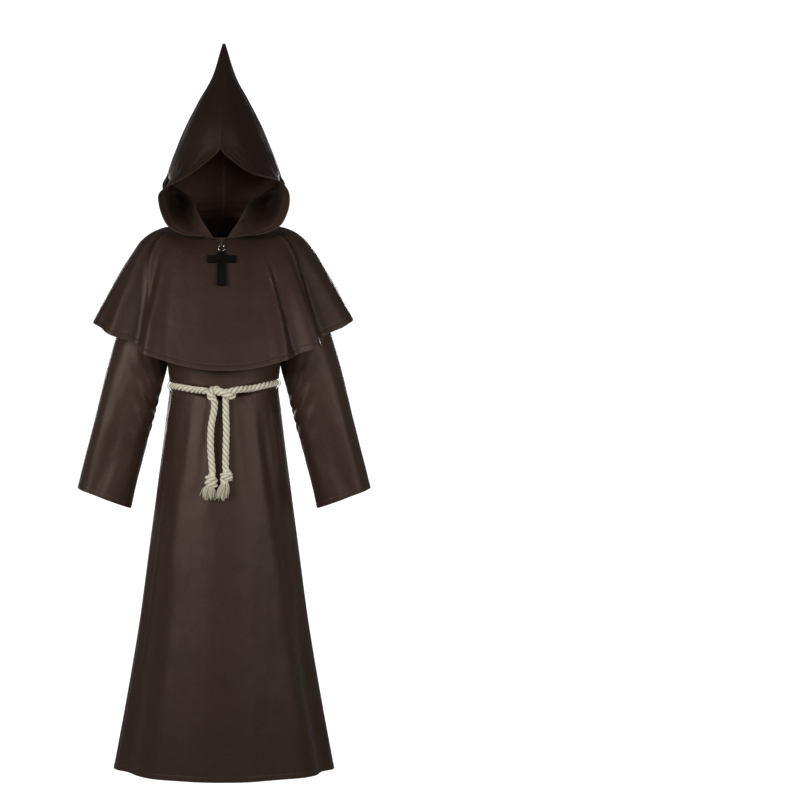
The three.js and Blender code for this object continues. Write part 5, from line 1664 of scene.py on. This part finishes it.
class ROBE_OT_cross(RobeOperator, bpy.types.Operator):
    """Makes the cross with its eye, and the metal ring it hangs on"""

    bl_idname = "robe.cross"
    bl_label = "Cross and ring"

    def execute(self, context):
        trim = context.scene.robe_trim
        hang_z = NECK_LOOP["z"] - NECK_LOOP["radius"] + NECK_LOOP["wire"] + JUMP_RING["wire"] + RING_GAP
        place = (
            Matrix.Translation(Vector((NECK_LOOP["x"], NECK_LOOP["y"], hang_z)) * MM)
            @ Matrix.Rotation(-math.radians(PENDANT_LEAN), 4, "X")
            @ Matrix.Scale(MM, 4)
        )
        ring_z = -JUMP_RING["radius"]
        eye_z = ring_z - JUMP_RING["radius"] - EYE["radius"] + EYE["wire"] + JUMP_RING["wire"] + RING_GAP
        wire = metal_material("ring_wire", trim.wire_color)
        ring = bmesh.new()
        self.torus(ring, JUMP_RING["radius"], JUMP_RING["wire"], ring_z, "Y", 4.0)
        self.close(ring, "wire_ring", place, wire, "jump_ring")
        black = black_material("black_cross", trim.cross_color)
        cross = bmesh.new()
        self.board(cross, eye_z - EYE["radius"])
        self.torus(cross, EYE["radius"], EYE["wire"], eye_z, "X", 0.0)
        self.close(cross, "black_cross", place, black, "cross")
        return {"FINISHED"}

    def torus(self, target, radius, wire, z, axis, gap):
        """A wire ring, split by a narrow gap in degrees if it has one."""
        around = 64
        sides = 16
        first = math.radians(gap / 2) + math.pi / 2
        span = 2 * math.pi - math.radians(gap)
        rings = []
        for i in range(around + 1 if gap else around):
            turn = first + span * i / around
            line = []
            for k in range(sides):
                across = 2 * math.pi * k / sides
                reach = radius + wire * math.cos(across)
                flat, side, height = reach * math.cos(turn), wire * math.sin(across), reach * math.sin(turn)
                at = (flat, side, height + z) if axis == "Y" else (side, flat, height + z)
                line.append(target.verts.new(at))
            rings.append(line)
        pairs = list(zip(rings, rings[1:] if gap else rings[1:] + rings[:1]))
        for line, after in pairs:
            for k in range(sides):
                target.faces.new((line[k], line[(k + 1) % sides], after[(k + 1) % sides], after[k]))
        if gap:
            target.faces.new(rings[0][::-1])
            target.faces.new(rings[-1])

    def board(self, target, top):
        """The flat cross, with flared ends and rounded edges."""
        bar, arm, wide = CROSS["bar"] / 2, CROSS["arm"] / 2, CROSS["wide"] / 2
        arm_z = top - CROSS["arm_at"]
        right = [
            (bar + CROSS["flare"] / 2, top), (bar, arm_z + arm), (wide, arm_z + arm + CROSS["flare"]),
            (wide, arm_z - arm - CROSS["flare"]), (bar, arm_z - arm),
            (bar + CROSS["flare"], top - CROSS["tall"]),
        ]
        outline = right + [(-x, z) for x, z in right[::-1]]
        front = [target.verts.new((x, -CROSS["thick"] / 2, z)) for x, z in outline]
        back = [target.verts.new((x, CROSS["thick"] / 2, z)) for x, z in outline]
        target.faces.new(front)
        target.faces.new(back[::-1])
        for i, j in zip(range(len(outline)), [*range(1, len(outline)), 0]):
            target.faces.new((front[i], front[j], back[j], back[i]))
        bmesh.ops.bevel(
            target, geom=list(target.edges) + list(target.verts), offset=1.1, segments=4, profile=0.5,
            affect="EDGES",
        )

    def close(self, shape, name, place, material, node):
        """Keeps a finished shape as the piece that stands for a node."""
        bmesh.ops.recalc_face_normals(shape, faces=shape.faces)
        bmesh.ops.transform(shape, matrix=place, verts=shape.verts)
        mesh = bpy.data.meshes.new(name)
        shape.to_mesh(mesh)
        shape.free()
        mesh.materials.append(material)
        mesh.shade_smooth()
        mesh.set_sharp_from_angle(angle=math.radians(40))
        body, slot = {"jump_ring": ("ring", "ring_metal"), "cross": ("cross", "cross_black")}[node]
        finish_piece(new_object(name, mesh), body, slot, node)


STEPS = (
    ("robe.studio", ROBE_OT_studio),
    ("robe.belt", ROBE_OT_belt),
    ("robe.carriers", ROBE_OT_carriers),
    ("robe.panels", ROBE_OT_panels),
    ("robe.sleeves", ROBE_OT_sleeves),
    ("robe.cape", ROBE_OT_cape),
    ("robe.hood", ROBE_OT_hood),
    ("robe.cross", ROBE_OT_cross),
)


class ROBE_PT_panel(bpy.types.Panel):
    """Lists the robe's settings and the steps that make it"""

    bl_idname = "ROBE_PT_panel"
    bl_label = "Robe"
    bl_space_type = "VIEW_3D"
    bl_region_type = "UI"
    bl_category = "Robe"

    def draw(self, context):
        layout = self.layout
        for group in (context.scene.robe_cloth, context.scene.robe_trim, context.scene.robe_studio):
            box = layout.box()
            for name in group.__annotations__:
                box.prop(group, name)
        for operator, _ in STEPS:
            layout.operator(operator)


GROUPS = {"robe_cloth": ROBE_PG_cloth, "robe_trim": ROBE_PG_trim, "robe_studio": ROBE_PG_studio}


def register():
    for name, group in GROUPS.items():
        bpy.utils.register_class(group)
        setattr(bpy.types.Scene, name, PointerProperty(type=group))
    for _, operator in STEPS:
        bpy.utils.register_class(operator)
    bpy.utils.register_class(ROBE_PT_panel)


def unregister():
    bpy.utils.unregister_class(ROBE_PT_panel)
    for _, operator in reversed(STEPS):
        bpy.utils.unregister_class(operator)
    for name, group in GROUPS.items():
        delattr(bpy.types.Scene, name)
        bpy.utils.unregister_class(group)


def main():
    register()
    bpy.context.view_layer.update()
    bpy.ops.robe.studio()
    bpy.ops.robe.belt()
    bpy.ops.robe.carriers()
    bpy.ops.robe.panels()
    bpy.ops.robe.sleeves()
    bpy.ops.robe.cape()
    bpy.ops.robe.hood()
    bpy.ops.robe.cross()


if __name__ == "__main__":
    main()
